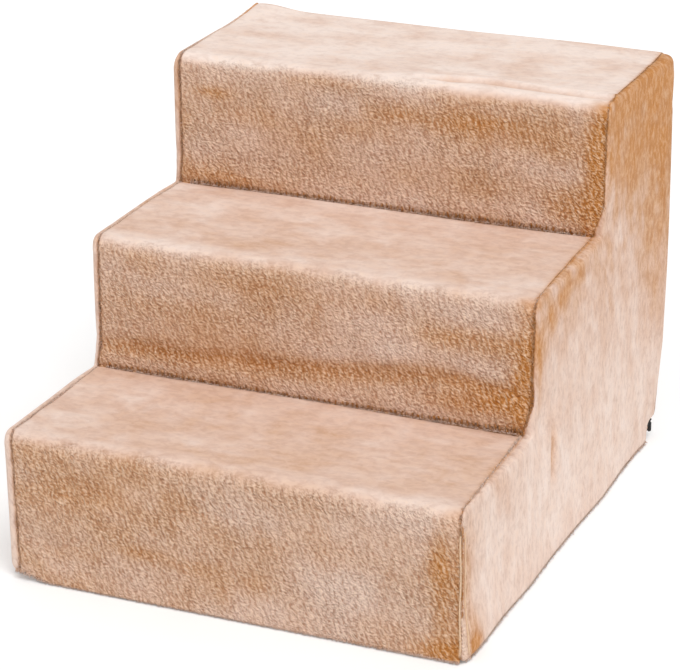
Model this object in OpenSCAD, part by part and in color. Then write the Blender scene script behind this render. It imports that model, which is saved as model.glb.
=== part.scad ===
// Pet stairs: a knock-down plastic frame of three steps inside a zipped plush cover.
// X runs across the steps, Y is the climbing direction and Z is up.
// The origin lies on the floor, in the middle of the footprint.

/* [Steps] */
// Width over the two side frames
frame_w = 350; // [300:1:450]
// Depth of the lowest board, from riser to riser
lower_run = 148; // [130:1:220]
// Depth of the middle board, from riser to riser
middle_run = 155; // [130:1:220]
// Depth of the top board
top_run = 132; // [120:1:220]
// Height of one step
step_rise = 110; // [90:1:160]

/* [Plush cover] */
// Thickness of the plush with its pile and foam backing
plush_t = 9.5; // [8:0.5:14]
// Room between the frame and the cover
cover_gap = 0.5; // [0.4:0.1:3]
// Height of the hem above the floor
hem_lift = 1.5; // [1:0.5:4]
// How far the step strip comes down the back before its seam
back_seam_drop = 32; // [20:1:45]

/* [Side frames] */
// Thickness of a side frame
side_t = 18; // [16:0.5:26]
// Width of its posts and rails
member_w = 16; // [14.5:0.5:22]
// Moulded wall of the side frames
side_wall = 2.5; // [2:0.1:3]

/* [Tread and riser boards] */
// Height of a tread board over its ribs
tread_t = 12; // [9:0.5:18]
// Thickness of a tread board's deck and rim
deck_t = 3; // [2:0.1:4]
// Thickness of the moulded ribs
rib_t = 2; // [1.5:0.1:3]
// Widest pocket between two ribs
rib_pitch = 40; // [25:1:44]
// Rounding of the tread boards' edges
edge_r = 3; // [1:0.1:3]
// Thickness of the riser and back boards
riser_t = 2.5; // [2:0.1:2.8]
// Depth of the ribs behind a riser or back board
riser_rib_d = 5; // [3:0.5:6]
// Thickness of a board's tongue in its groove
tongue_t = 2.5; // [2:0.1:3]
// How far a tongue reaches into the side frame
tongue_l = 10; // [6:0.5:12]
// Room round each board where it meets the frame
board_fit = 0.3; // [0.2:0.05:0.4]

/* [Snap hooks] */
// Width of a hook along the rail
hook_w = 14; // [8:0.5:20]
// Thickness of a hook
hook_t = 2.5; // [2:0.1:3.5]
// How far the barb catches under the rail
hook_barb = 1.4; // [0.8:0.1:2]
// Height of the barb
hook_barb_h = 3; // [2:0.1:4]
// Distance of a hook's middle from the end of its board
hook_inset = 32; // [28:1:45]

/* [Cross tubes] */
// Outer diameter of a cross tube
tube_d = 16; // [12:0.5:18]
// Wall of a cross tube
tube_wall = 1.5; // [1:0.1:2.5]
// Wall of the socket round a tube
socket_wall = 4; // [3:0.1:5]
// Radial room of a tube in its socket, and of a pin in its hole
tube_fit = 0.05; // [0.02:0.01:0.1]
// How far a socket runs into the rib beside it
socket_bite = 0.5; // [0.3:0.1:0.6]
// Height of the sockets above the plugs of the feet
socket_clear = 2; // [1:0.5:6]
// Room at each end of a tube
tube_end_gap = 0.5; // [0.3:0.1:0.9]
// Diameter of a locking pin
pin_d = 3.5; // [2.5:0.1:4]
// Diameter of a locking pin's head
pin_head_d = 5.6; // [4.8:0.1:6]
// Height of a locking pin's head
pin_head_h = 2; // [1:0.1:3]

/* [Feet] */
// Height of a rubber foot below the frame
foot_h = 3; // [2:0.5:5]
// Length of a foot
foot_l = 26; // [18:1:34]
// Width of a foot
foot_w = 14; // [8:0.5:16]
// Distance of a foot's middle from the end of the frame
foot_inset = 20; // [18:1:40]
// Diameter of a foot's plug
plug_d = 5; // [4:0.5:6]
// Length of a foot's plug above the foot
plug_l = 7; // [5:0.5:9]
// How far the plug's bulb stands out over its hole
plug_bulb = 0.8; // [0.4:0.1:1.2]
// Radial room of the plug in its hole
plug_fit = 0.1; // [0.05:0.05:0.2]

/* [Corner zip] */
// Leg of the bevel that the zip lies in
zip_bevel = 9; // [8.7:0.1:12]
// Length of the zip
zip_l = 285; // [200:1:300]
// Height of its lower end above the floor
zip_foot = 7; // [6:0.5:12]
// Thickness of the zip tape
tape_t = 0.5; // [0.3:0.05:0.6]
// How far the tape runs back along the panel's edge
tape_leg = 4; // [2:0.1:4.5]
// Depth of the tape's face below the bevel
tape_depth = 2.1; // [1.8:0.05:2.6]
// Width of tape that stands free beside the gap, under a coil
tape_lap = 0.5; // [0.2:0.05:0.8]
// Width of one coil row
coil_w = 1.8; // [1.4:0.05:1.9]
// Height of one coil row
coil_h = 1.6; // [1.2:0.05:1.8]
// Gap between the two coil rows
coil_gap = 1; // [0.95:0.05:1.4]
// Distance of the stops from the tape's ends
stop_inset = 1; // [0.5:0.1:3]
// Height of the stops that end the coils
stop_h = 2.5; // [1.5:0.1:4]

/* [Zip slider and pull] */
// Room between the slider and the coils and tape
slider_fit = 0.3; // [0.2:0.05:0.35]
// Room between the slider and the tape on the panels' edges
slider_side_room = 0.5; // [0.3:0.05:0.8]
// Length of the slider
slider_l = 9.5; // [8:0.5:14]
// Thickness of the slider's two plates
slider_plate_t = 0.9; // [0.6:0.05:1]
// Width of the slider's lips beside the coils
slider_lip_t = 0.7; // [0.4:0.05:0.8]
// Thickness of the neck that parts the two rows
slider_neck_t = 0.4; // [0.3:0.05:0.5]
// Length of that neck
slider_neck_l = 3; // [2:0.1:4]
// Radius of the pull's hinge pin
pull_pin_r = 0.6; // [0.4:0.05:0.7]
// Radial room of the pull on that pin
pull_pin_fit = 0.06; // [0.03:0.01:0.1]
// Radius of the pull's knuckle
pull_knuckle_r = 1.1; // [1:0.05:1.2]
// Room between the knuckle and the slider
pull_room = 0.2; // [0.15:0.05:0.4]
// Width of the pull's neck between the ears
pull_neck_w = 2.8; // [2:0.1:3]
// Length of that neck from the pin to the tab
pull_neck_l = 2.7; // [2.5:0.1:4]
// Thickness of one ear
ear_t = 0.8; // [0.5:0.05:0.9]
// Length of the pull below its pin
pull_l = 12; // [10:0.5:13]
// Width of the pull's tab
pull_w = 6; // [4:0.1:6]
// Thickness of the pull
pull_t = 1.4; // [1:0.05:1.6]
// Radius of the hole in the tab
pull_hole_r = 1.3; // [0.8:0.1:1.6]

/* [Hidden] */
$fn = 72;

LEFT = -1;
RIGHT = 1;
// One overrun serves every cut
over = 1;
// Where the pull's pin lies along the slider
pull_pin_share = 0.6;

frame_white = [0.93, 0.93, 0.91];
tube_grey = [0.78, 0.79, 0.80];
rubber_black = [0.13, 0.13, 0.13];
plush_beige = [0.87, 0.71, 0.60];
plush_tan = [0.84, 0.67, 0.54];
tape_beige = [0.72, 0.60, 0.50];
zip_black = [0.08, 0.08, 0.08];

// Riser planes of the frame from front to back, with its rear plane last
frame_d = lower_run + middle_run + top_run;
plane_y = [-frame_d / 2, -frame_d / 2 + lower_run, frame_d / 2 - top_run, frame_d / 2];
// Tread tops of the frame, and the tops of the rails that carry the boards
top_z = [step_rise, 2 * step_rise, 3 * step_rise];
rail_z = [for (z = top_z) z - tread_t];

// The cover is the frame's outline grown by its gap and its plush
cover_t = plush_t + cover_gap;
cover_in_w = frame_w + 2 * cover_gap;
cover_w = cover_in_w + 2 * plush_t;
cover_back_y = plane_y[3] + cover_t;
cover_top_z = top_z[2] + cover_t;
nosing_r = edge_r + cover_t;

// Side frame: inner face, and the middle of its thickness
side_in_x = frame_w / 2 - side_t;
side_mid_x = frame_w / 2 - side_t / 2;
groove_w = tongue_t + 2 * board_fit;

// A socket stands beside the rib of its groove, above the plug of the foot
socket_r = tube_d / 2 + socket_wall;
socket_inset = side_wall + groove_w + rib_t + socket_r - socket_bite;
tube_rise = foot_h + plug_l + socket_clear + socket_r;
tube_y = [plane_y[0] + socket_inset, plane_y[1] + socket_inset, plane_y[3] - socket_inset];
foot_y = [plane_y[0] + foot_inset, plane_y[3] - foot_inset];

// The zip's stack, measured outwards from the face of the bevel
tape_face = -tape_depth;
coil_top = tape_face + coil_h;
plate_in = coil_top + slider_fit;
plate_out = plate_in + slider_plate_t;
back_plate_out = tape_face - tape_t - slider_fit;
pull_out = plate_out + pull_room + pull_knuckle_r;
// The zip's spread, measured from the middle of the slot
coil_out = coil_gap / 2 + coil_w;
lip_in = coil_out + slider_fit;
slider_half_w = lip_in + slider_lip_t;
slot_half = slider_half_w + slider_side_room + tape_t;
ear_in = pull_neck_w / 2 + pull_room;
// The zip's heights
zip_head = zip_foot + zip_l;
stop_foot = zip_foot + stop_inset;
coil_foot = stop_foot + stop_h;
coil_head = zip_head - stop_inset - stop_h;
slider_foot = coil_foot + slider_fit;
pull_pin_z = slider_foot + slider_l * pull_pin_share;

// Draws a side view, Y across and Z up, and gives it its width from x0 to x1
module across(x0, x1) {
    translate([x0, 0, 0]) rotate([90, 0, 90]) linear_extrude(x1 - x0) children();
}

// A piece modelled on the right, on either side
module on_side(side) {
    mirror([side == LEFT ? 1 : 0, 0, 0]) children();
}

// A side view of a slab with its two upper edges rounded
module slab(front, back, foot, top, r) {
    translate([front, foot]) square([back - front, top - r - foot]);
    translate([front + r, top - r - r]) square([back - front - 2 * r, 2 * r]);
    translate([front + r, top - r]) circle(r = r);
    translate([back - r, top - r]) circle(r = r);
}

// A rectangle given by its corners
module box_2d(front, back, foot, head) {
    translate([front, foot]) square([back - front, head - foot]);
}

// Side frames

// Side view of the block under step i, down to the feet
module step_block(i, inset) {
    box_2d(plane_y[i] + inset, plane_y[3] - inset, foot_h + inset, rail_z[i] - inset);
}

// One window for each step of each bay
module windows(grow) {
    for (bay = [0:2], row = [0:bay])
        box_2d(plane_y[bay] + member_w - grow,
            plane_y[bay + 1] - (bay == 2 ? member_w : 0) + grow,
            (row == 0 ? foot_h + member_w : rail_z[row - 1]) - grow,
            rail_z[row] - member_w + grow);
}

// The groove rib behind the front face of step i
module groove_rib(i) {
    front = plane_y[i] + side_wall + groove_w;
    box_2d(front, front + rib_t, foot_h, rail_z[i]);
}

// Side view of the walls that stand in from the web
module side_walls() {
    difference() {
        union() {
            for (i = [0:2]) {
                difference() {
                    step_block(i, 0);
                    step_block(i, side_wall);
                }
                groove_rib(i);
            }
            windows(side_wall);
            rear_rib = plane_y[3] - side_wall - groove_w - rib_t;
            box_2d(rear_rib, rear_rib + rib_t, foot_h, rail_z[2]);
        }
        windows(0);
        // The groove of the back boards runs past the rails
        box_2d(plane_y[3] - side_wall - groove_w, plane_y[3] - side_wall,
            foot_h + side_wall, rail_z[2] - side_wall);
    }
}

// Middles of the two hooks of board i
function hook_y(i) = [plane_y[i] + hook_inset, plane_y[i + 1] - hook_inset];

module side_frame() {
    difference() {
        union() {
            across(frame_w / 2 - side_wall, frame_w / 2) difference() {
                union() for (i = [0:2]) step_block(i, 0);
                windows(0);
            }
            across(side_in_x, frame_w / 2) side_walls();
            for (y = tube_y)
                translate([side_in_x, y, tube_rise]) rotate([0, 90, 0]) cylinder(r = socket_r, h = side_t);
        }
        for (y = tube_y) {
            translate([side_in_x - over, y, tube_rise]) rotate([0, 90, 0])
                cylinder(r = tube_d / 2 + tube_fit, h = side_t - side_wall + over);
            translate([side_mid_x, y, tube_rise - socket_r - over])
                cylinder(r = pin_d / 2 + tube_fit, h = 2 * (socket_r + over));
        }
        for (y = foot_y)
            translate([side_mid_x, y, foot_h - over])
                cylinder(r = plug_d / 2 + plug_fit, h = side_wall + 2 * over);
        for (i = [0:2], y = hook_y(i))
            translate([side_mid_x - hook_t / 2 - board_fit, y - hook_w / 2 - board_fit,
                rail_z[i] - side_wall - over])
                cube([hook_t + 2 * board_fit, hook_w + 2 * board_fit, side_wall + 2 * over]);
    }
}

module side_frame_left() color(frame_white) on_side(LEFT) side_frame();
module side_frame_right() color(frame_white) on_side(RIGHT) side_frame();

// Tread boards

// Pockets that fit in a length, and the width of one
function pockets(length) = ceil((length + rib_t) / (rib_pitch + rib_t));
function pocket_w(length) = (length + rib_t) / pockets(length) - rib_t;

// A snap hook that hangs from the deck of board i, through the rail
module snap_hook(i) {
    barb_top = rail_z[i] - side_wall - board_fit;
    translate([side_mid_x - hook_t / 2, -hook_w / 2, barb_top - hook_barb_h])
        cube([hook_t, hook_w, top_z[i] - deck_t / 2 - barb_top + hook_barb_h]);
    translate([side_mid_x, -hook_w / 2, barb_top - hook_barb_h])
        cube([hook_t / 2 + hook_barb, hook_w, hook_barb_h]);
}

module tread_board(i) {
    front = plane_y[i];
    back = i == 2 ? plane_y[3] : plane_y[i + 1] - board_fit;
    in_w = frame_w - 2 * deck_t;
    in_d = back - front - 2 * deck_t;
    cell_w = pocket_w(in_w);
    cell_d = pocket_w(in_d);
    difference() {
        across(-frame_w / 2, frame_w / 2) intersection() {
            slab(front, i == 2 ? back : back + 2 * edge_r, rail_z[i], top_z[i], edge_r);
            box_2d(front, back, rail_z[i], top_z[i]);
        }
        for (a = [0:pockets(in_w) - 1], b = [0:pockets(in_d) - 1])
            translate([-in_w / 2 + a * (cell_w + rib_t), front + deck_t + b * (cell_d + rib_t), rail_z[i] - over])
                cube([cell_w, cell_d, tread_t - deck_t + over]);
    }
    for (side = [LEFT, RIGHT], y = hook_y(i))
        on_side(side) translate([0, y, 0]) snap_hook(i);
}

module tread_board_lower() color(frame_white) tread_board(0);
module tread_board_middle() color(frame_white) tread_board(1);
module tread_board_top() color(frame_white) tread_board(2);

// Riser and back boards

// A thin board between the side frames, from its face inwards, with a tongue at each end.
// The panel may stand higher than its tongues.
module grooved_board(foot, tongue_head, panel_head) {
    half_w = side_in_x - board_fit;
    low = foot + board_fit;
    height = panel_head - board_fit - low;
    tongue_height = tongue_head - board_fit - low;
    tongue_front = side_wall + board_fit;
    ribs = ceil(height / rib_pitch);
    translate([-half_w, 0, low]) cube([2 * half_w, riser_t, height]);
    for (k = [0:ribs])
        translate([-half_w, 0, low + k * (height - rib_t) / ribs]) cube([2 * half_w, riser_t + riser_rib_d, rib_t]);
    for (side = [LEFT, RIGHT]) on_side(side) {
        translate([half_w - tongue_l, 0, low]) cube([tongue_l, tongue_front + tongue_t, tongue_height]);
        translate([half_w - tongue_l, tongue_front, low])
            cube([tongue_l + board_fit + tongue_l, tongue_t, tongue_height]);
    }
}

module riser_board(i) {
    foot = i == 0 ? foot_h + side_wall : rail_z[i - 1];
    translate([0, plane_y[i], 0]) grooved_board(foot, rail_z[i] - side_wall, rail_z[i]);
}

module back_board(foot, tongue_head, panel_head) {
    translate([0, plane_y[3], 0]) mirror([0, 1, 0]) grooved_board(foot, tongue_head, panel_head);
}

// The two back boards meet half-way up
back_foot = foot_h + side_wall;
back_split = (back_foot + rail_z[2]) / 2;

module riser_board_lower() color(frame_white) riser_board(0);
module riser_board_middle() color(frame_white) riser_board(1);
module riser_board_upper() color(frame_white) riser_board(2);
module back_board_lower() color(frame_white) back_board(back_foot, back_split, back_split);
module back_board_upper() color(frame_white) back_board(back_split, rail_z[2] - side_wall, rail_z[2]);

// Cross tubes and their pins

module cross_tube(y) {
    length = frame_w - 2 * side_wall - 2 * tube_end_gap;
    translate([0, y, tube_rise]) difference() {
        rotate([0, 90, 0]) cylinder(r = tube_d / 2, h = length, center = true);
        rotate([0, 90, 0]) cylinder(r = tube_d / 2 - tube_wall, h = length + 2 * over, center = true);
        for (side = [LEFT, RIGHT])
            translate([side * side_mid_x, 0, 0]) cylinder(r = pin_d / 2 + tube_fit, h = 2 * tube_d, center = true);
    }
}

module cross_tube_front() color(tube_grey) cross_tube(tube_y[0]);
module cross_tube_middle() color(tube_grey) cross_tube(tube_y[1]);
module cross_tube_rear() color(tube_grey) cross_tube(tube_y[2]);

module tube_pins() color(frame_white)
    for (side = [LEFT, RIGHT], y = tube_y)
        translate([side * side_mid_x, y, tube_rise - socket_r]) {
            cylinder(r = pin_d / 2, h = 2 * socket_r + pin_head_h);
            translate([0, 0, 2 * socket_r]) cylinder(r = pin_head_d / 2, h = pin_head_h);
        }

// Feet

module foot(side, y) color(rubber_black) {
    bulb_foot = foot_h + side_wall + board_fit;
    end_y = foot_l / 2 - foot_w / 2;
    translate([side * side_mid_x, y, 0]) {
        linear_extrude(foot_h) {
            square([foot_w, 2 * end_y], center = true);
            for (end = [-end_y, end_y]) translate([0, end]) circle(r = foot_w / 2);
        }
        cylinder(r = plug_d / 2, h = foot_h + plug_l);
        translate([0, 0, bulb_foot])
            cylinder(r1 = plug_d / 2 + plug_bulb, r2 = plug_d / 2, h = foot_h + plug_l - bulb_foot);
    }
}

module foot_front_left() foot(LEFT, foot_y[0]);
module foot_front_right() foot(RIGHT, foot_y[0]);
module foot_rear_left() foot(LEFT, foot_y[1]);
module foot_rear_right() foot(RIGHT, foot_y[1]);

// Cover

// Side view of the cover, shrunk to its inner face or not
module cover_outline(shrink, foot) {
    for (i = [0:2])
        slab(plane_y[i] - cover_t + shrink, cover_back_y - shrink, foot, top_z[i] + cover_t - shrink, nosing_r - shrink);
}

// The middle of the bevel at the rear right corner: X points out of it, Y along its face
module at_zip() {
    translate([cover_w / 2 - zip_bevel / 2, cover_back_y - zip_bevel / 2, 0]) rotate([0, 0, 45]) children();
}

module corner_bevel() {
    at_zip() translate([0, -zip_bevel, -over]) cube([zip_bevel, 2 * zip_bevel, cover_top_z + 2 * over]);
}

module zip_slot() {
    reach = cover_t + zip_bevel;
    at_zip() translate([-reach, -slot_half, -over]) cube([reach + over, 2 * slot_half, zip_head + over]);
}

back_seam_z = cover_top_z - back_seam_drop;

module cover_step_strip() color(plush_beige) difference() {
    across(-cover_in_w / 2, cover_in_w / 2) difference() {
        cover_outline(0, hem_lift);
        cover_outline(plush_t, hem_lift - over);
        box_2d(plane_y[3], cover_back_y + over, hem_lift - over, back_seam_z);
    }
    corner_bevel();
}

module cover_side() across(cover_in_w / 2, cover_w / 2) cover_outline(0, hem_lift);

module cover_side_left() color(plush_tan) on_side(LEFT) cover_side();

module cover_side_right() color(plush_tan) difference() {
    on_side(RIGHT) cover_side();
    corner_bevel();
    zip_slot();
}

module cover_back() color(plush_tan) difference() {
    translate([-cover_in_w / 2, plane_y[3] + cover_gap, hem_lift])
        cube([cover_in_w, plush_t, back_seam_z - hem_lift]);
    corner_bevel();
    zip_slot();
}

// Zip

// One half of the zip is sewn to the side panel, the other to the back panel
module zip_half(side) {
    at_zip() mirror([0, side == LEFT ? 1 : 0, 0]) children();
}

module zip_tape(side) color(tape_beige) zip_half(side) {
    tape_in = coil_gap / 2 + tape_lap;
    translate([tape_face - tape_t, tape_in, zip_foot]) cube([tape_t, slot_half - tape_in, zip_l]);
    translate([tape_face - tape_leg, slot_half - tape_t, zip_foot]) cube([tape_leg, tape_t, zip_l]);
}

module zip_coil(side) color(tape_beige) zip_half(side)
    translate([tape_face, coil_gap / 2, coil_foot]) linear_extrude(coil_head - coil_foot) intersection() {
        square([coil_h, coil_w]);
        union() {
            square([coil_h - coil_w / 2, coil_w]);
            translate([coil_h - coil_w / 2, coil_w / 2]) circle(r = coil_w / 2);
        }
    }

module zip_tape_side() zip_tape(LEFT);
module zip_tape_back() zip_tape(RIGHT);
module zip_coil_side() zip_coil(LEFT);
module zip_coil_back() zip_coil(RIGHT);

module zip_top_stop() color(tape_beige)
    at_zip() translate([tape_face, -coil_out, coil_head]) cube([coil_h, 2 * coil_out, stop_h]);

module zip_bottom_stops() color(tape_beige)
    for (side = [LEFT, RIGHT])
        zip_half(side) translate([tape_face, coil_gap / 2, stop_foot]) cube([coil_h, coil_w, stop_h]);

module zip_slider() color(zip_black) at_zip() {
    back_plate_in = back_plate_out - slider_plate_t;
    lip_back = tape_face + slider_fit;
    translate([plate_in, -slider_half_w, slider_foot]) cube([slider_plate_t, 2 * slider_half_w, slider_l]);
    translate([back_plate_in, -slider_half_w, slider_foot]) cube([slider_plate_t, 2 * slider_half_w, slider_l]);
    translate([back_plate_in, -slider_neck_t / 2, slider_foot + slider_l - slider_neck_l])
        cube([plate_out - back_plate_in, slider_neck_t, slider_neck_l]);
    for (side = [LEFT, RIGHT]) mirror([0, side == LEFT ? 1 : 0, 0]) {
        translate([lip_back, lip_in, slider_foot]) cube([plate_out - lip_back, slider_lip_t, slider_l]);
        translate([plate_in, ear_in, pull_pin_z - pull_knuckle_r])
            cube([pull_out - plate_in, ear_t, 2 * pull_knuckle_r]);
        translate([pull_out, ear_in, pull_pin_z]) rotate([-90, 0, 0]) cylinder(r = pull_knuckle_r, h = ear_t);
    }
    translate([pull_out, -ear_in, pull_pin_z]) rotate([-90, 0, 0]) cylinder(r = pull_pin_r, h = 2 * ear_in);
}

module zip_pull() color(zip_black) at_zip() translate([pull_out, 0, pull_pin_z]) {
    tab_r = pull_w / 2;
    difference() {
        union() {
            rotate([90, 0, 0]) cylinder(r = pull_knuckle_r, h = pull_neck_w, center = true);
            translate([-pull_t / 2, -pull_neck_w / 2, -pull_neck_l - pull_t]) cube([pull_t, pull_neck_w, pull_neck_l + pull_t]);
            translate([-pull_t / 2, 0, 0]) rotate([90, 0, 90]) linear_extrude(pull_t) {
                translate([-tab_r, tab_r - pull_l]) square([pull_w, pull_l - tab_r - pull_neck_l]);
                translate([0, tab_r - pull_l]) circle(r = tab_r);
            }
        }
        rotate([90, 0, 0]) cylinder(r = pull_pin_r + pull_pin_fit, h = 2 * pull_neck_w, center = true);
        translate([0, 0, tab_r - pull_l]) rotate([0, 90, 0]) cylinder(r = pull_hole_r, h = 2 * pull_t, center = true);
    }
}

side_frame_left();
side_frame_right();
tread_board_lower();
tread_board_middle();
tread_board_top();
riser_board_lower();
riser_board_middle();
riser_board_upper();
back_board_lower();
back_board_upper();
cross_tube_front();
cross_tube_middle();
cross_tube_rear();
tube_pins();
foot_front_left();
foot_front_right();
foot_rear_left();
foot_rear_right();
cover_step_strip();
cover_side_left();
cover_side_right();
cover_back();
zip_tape_side();
zip_tape_back();
zip_coil_side();
zip_coil_back();
zip_top_stop();
zip_bottom_stops();
zip_slider();
zip_pull();
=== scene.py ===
"""Pet stairs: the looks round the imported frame. A plush cover is sewn from a step strip, two side panels
and a back panel, with a zip in the rear right corner. Places are in metres, in the frame of the CAD part:
x points right, y back and z up. Sizes that the tables list or the helpers take are in millimetres."""

import math

import bpy
import numpy as np
from mathutils import Matrix, Vector
from mathutils.geometry import delaunay_2d_cdt


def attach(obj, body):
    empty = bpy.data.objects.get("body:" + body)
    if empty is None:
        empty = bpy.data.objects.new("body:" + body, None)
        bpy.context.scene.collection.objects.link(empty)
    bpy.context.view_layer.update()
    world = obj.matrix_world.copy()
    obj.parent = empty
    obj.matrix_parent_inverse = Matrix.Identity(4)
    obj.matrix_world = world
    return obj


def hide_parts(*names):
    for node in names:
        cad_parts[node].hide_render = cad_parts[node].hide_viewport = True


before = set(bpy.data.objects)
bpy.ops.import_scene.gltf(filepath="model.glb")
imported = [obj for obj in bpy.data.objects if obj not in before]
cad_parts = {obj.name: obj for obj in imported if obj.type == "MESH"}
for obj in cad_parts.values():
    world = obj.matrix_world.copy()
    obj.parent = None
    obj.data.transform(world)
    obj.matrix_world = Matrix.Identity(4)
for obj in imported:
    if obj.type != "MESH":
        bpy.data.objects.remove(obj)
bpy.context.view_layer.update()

MM = 0.001

# ---------------------------------------------------------------- the cover as the CAD part has it
RISER_Y = np.array([-227.5, -79.5, 75.5]) * MM
TREAD_Z = np.array([120.0, 230.0, 340.0]) * MM
BACK_Y = 227.5 * MM
SIDE_X = 185.0 * MM
INNER_X = 175.55 * MM
PLUSH = 9.45 * MM
HEM_Z = 1.5 * MM
NOSING_R = 13.0 * MM
BACK_SEAM_Z = 308.0 * MM
ZIP_HEAD_Z = 292.0 * MM

# ---------------------------------------------------------------- the pile stands a little proud of it
FRONT = RISER_Y - np.array([3.5, 0.5, 0.5]) * MM
TOP = TREAD_Z + np.array([2.0, 1.0, 1.0]) * MM
REAR = BACK_Y + 4.0 * MM
FLANK = SIDE_X + 3.0 * MM
LINING_X = INNER_X - 0.1 * MM
SEAM_X = 182.0 * MM
SEAM_GAP = 0.06 * MM
HALF_WIDTH = SEAM_X - SEAM_GAP
REAR_R = 5.0 * MM

# where the seam between strip and side panel runs, from the middle: at the hem, then for each step
# 25 mm above the riser's foot, at its head, at the tread's front and in the corner behind it
RIGHT_SEAM = (187.0, 187.0, 187.0, 184.8, 177.0, 184.6, 185.4, 184.0, 176.8, 185.5, 187.0, 185.8, 181.6)
LEFT_SEAM = (180.0, 180.8, 181.6, 186.2, 187.0, 184.2, 183.4, 186.6, 187.2, 185.4, 185.6, 187.0, 186.0)
# how far the left side panel's edge stands out past its plain face at the same places
LEFT_SWELL = (1.2, 1.2, 2.0, 4.6, 7.4, 1.0, 1.0, 4.0, 8.2, 4.2, 4.2, 2.6, 2.2)


# ---------------------------------------------------------------- curves and noise
def smooth(t):
    t = np.clip(t, 0.0, 1.0)
    return t * t * (3.0 - 2.0 * t)


def rise(value, start, reach):
    """0 up to the start, then smoothly up to 1 over the reach."""
    return smooth((value - start * MM) / (reach * MM))


def fall(value, start, reach):
    return 1 - rise(value, start, reach)


def hump(value, middle, width):
    """1 at the middle, falling off like a bell."""
    return np.exp(-(((value - middle * MM) / (width * MM)) ** 2))


def fading(distance, reach):
    return np.exp(-distance / (reach * MM))


def curve(value, places, heights):
    """Straight lines through a table of places and what holds there."""
    return np.interp(value, np.array(places) * MM, heights)


def ripples(a, b, size, seed):
    """Smooth noise from -1 to 1 over two coordinates; size is the length of one hump along each."""
    cells = 32
    table = np.random.default_rng(seed).uniform(-1.0, 1.0, (cells, cells, cells))
    shift = 7.31 * (seed % 11)
    layer, share = int(shift), smooth(shift % 1.0)
    table = table[..., layer % cells] * (1 - share) + table[..., (layer + 1) % cells] * share

    def cell(value, length):
        q = value / (length * MM) + shift
        low = np.floor(q).astype(int)
        return low % cells, (low + 1) % cells, smooth(q - low)

    (a0, a1, share_a), (b0, b1, share_b) = cell(a, size[0]), cell(b, size[1])
    near = table[a0, b0] * (1 - share_b) + table[a0, b1] * share_b
    far = table[a1, b0] * (1 - share_b) + table[a1, b1] * share_b
    return near * (1 - share_a) + far * share_a


def roll(distance, radius, depth):
    """How far a rolled edge lies below the face, by the distance from its end."""
    t = np.clip(1.0 - distance / (radius * MM), 0.0, 1.0)
    return depth * (1.0 - np.sqrt(1.0 - t * t))


def stations(length, step, fine, reach):
    """Distances from 0 to length, closer together near both ends."""
    step, fine, reach = step * MM, fine * MM, reach * MM
    found = [0.0]
    while found[-1] < length:
        at = found[-1]
        found.append(at + (fine if min(at, length - at) < reach else step))
    found = np.array(found[:-1])
    if length - found[-1] < 0.4 * fine:
        found = found[:-1]
    return np.append(found, length)


def brushed(marks, a, b):
    """Where the pile lies the other way. A mark is its middle, its half widths and its strength."""
    covered = 0.0
    for at_a, at_b, half_a, half_b, strength in marks:
        covered = covered + strength * hump(a, at_a, half_a) * hump(b, at_b, half_b)
    return covered


def unit(vectors):
    return vectors / np.maximum(np.linalg.norm(vectors, axis=1, keepdims=True), 1e-9)


# ---------------------------------------------------------------- meshes
def tube_faces(rings, size, first=0):
    """Faces between closed rings of points that follow each other."""
    faces = []
    for start in range(first, first + (rings - 1) * size, size):
        for j in range(size):
            a, b = start + j, start + (j + 1) % size
            faces.append([a, b, b + size, a + size])
    return faces


def capped_tube(rings, size, first=0):
    last = first + (rings - 1) * size
    return tube_faces(rings, size, first) + [[*range(first, first + size)][::-1], [*range(last, last + size)]]


def cord_mesh(points, radius, sides):
    """Vertices and faces of a closed round cord along a line of points, narrower at its ends."""
    points = np.asarray(points, float)
    verts = []
    for k, p in enumerate(points):
        way = points[min(k + 1, len(points) - 1)] - points[max(k - 1, 0)]
        way = way / np.linalg.norm(way)
        aside = np.cross(way, (0.6, 0.1, 0.2))
        aside /= np.linalg.norm(aside)
        other = np.cross(way, aside)
        reach = radius * MM * (0.35 if k in (0, len(points) - 1) else 1.0)
        for a in np.arange(sides) * (2 * math.pi / sides):
            verts.append(p + (aside * math.cos(a) + other * math.sin(a)) * reach)
    return verts, capped_tube(len(points), sides)


def add_mesh(verts, faces, more):
    """Adds a second mesh, given as its vertices and faces, to lists of the same."""
    faces += [[len(verts) + k for k in face] for face in more[1]]
    verts += list(more[0])


def add_object(name, data):
    thing = bpy.data.objects.new(name, data)
    bpy.context.scene.collection.objects.link(thing)
    return thing


def make_piece(name, verts, faces, materials, pile=None, uv=None, material_of=0, is_smooth=True):
    """A mesh piece that rides on the cover and wears the materials given. pile holds the nap, tone, and the parting and
    painted shade of each vertex."""
    mesh = bpy.data.meshes.new(name)
    mesh.from_pydata([tuple(v) for v in verts], [], faces)
    for material in materials:
        mesh.materials.append(material)
    count = len(mesh.polygons)
    mesh.polygons.foreach_set("material_index", np.full(count, 0, np.int32) + np.asarray(material_of, np.int32))
    mesh.polygons.foreach_set("use_smooth", np.full(count, True) & np.asarray(is_smooth))
    for key, values in (pile or {}).items():
        layer = mesh.attributes.new(key, "FLOAT", "POINT")
        layer.data.foreach_set("value", np.asarray(values, np.float32))
    if uv is not None:
        corner = np.empty(len(mesh.loops), np.int32)
        mesh.loops.foreach_get("vertex_index", corner)
        layer = mesh.uv_layers.new(name="OFBake")
        layer.data.foreach_set("uv", np.asarray(uv, np.float32)[corner].ravel())
    mesh.update()
    piece = add_object(name, mesh)
    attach(piece, "cover")
    return piece


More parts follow.
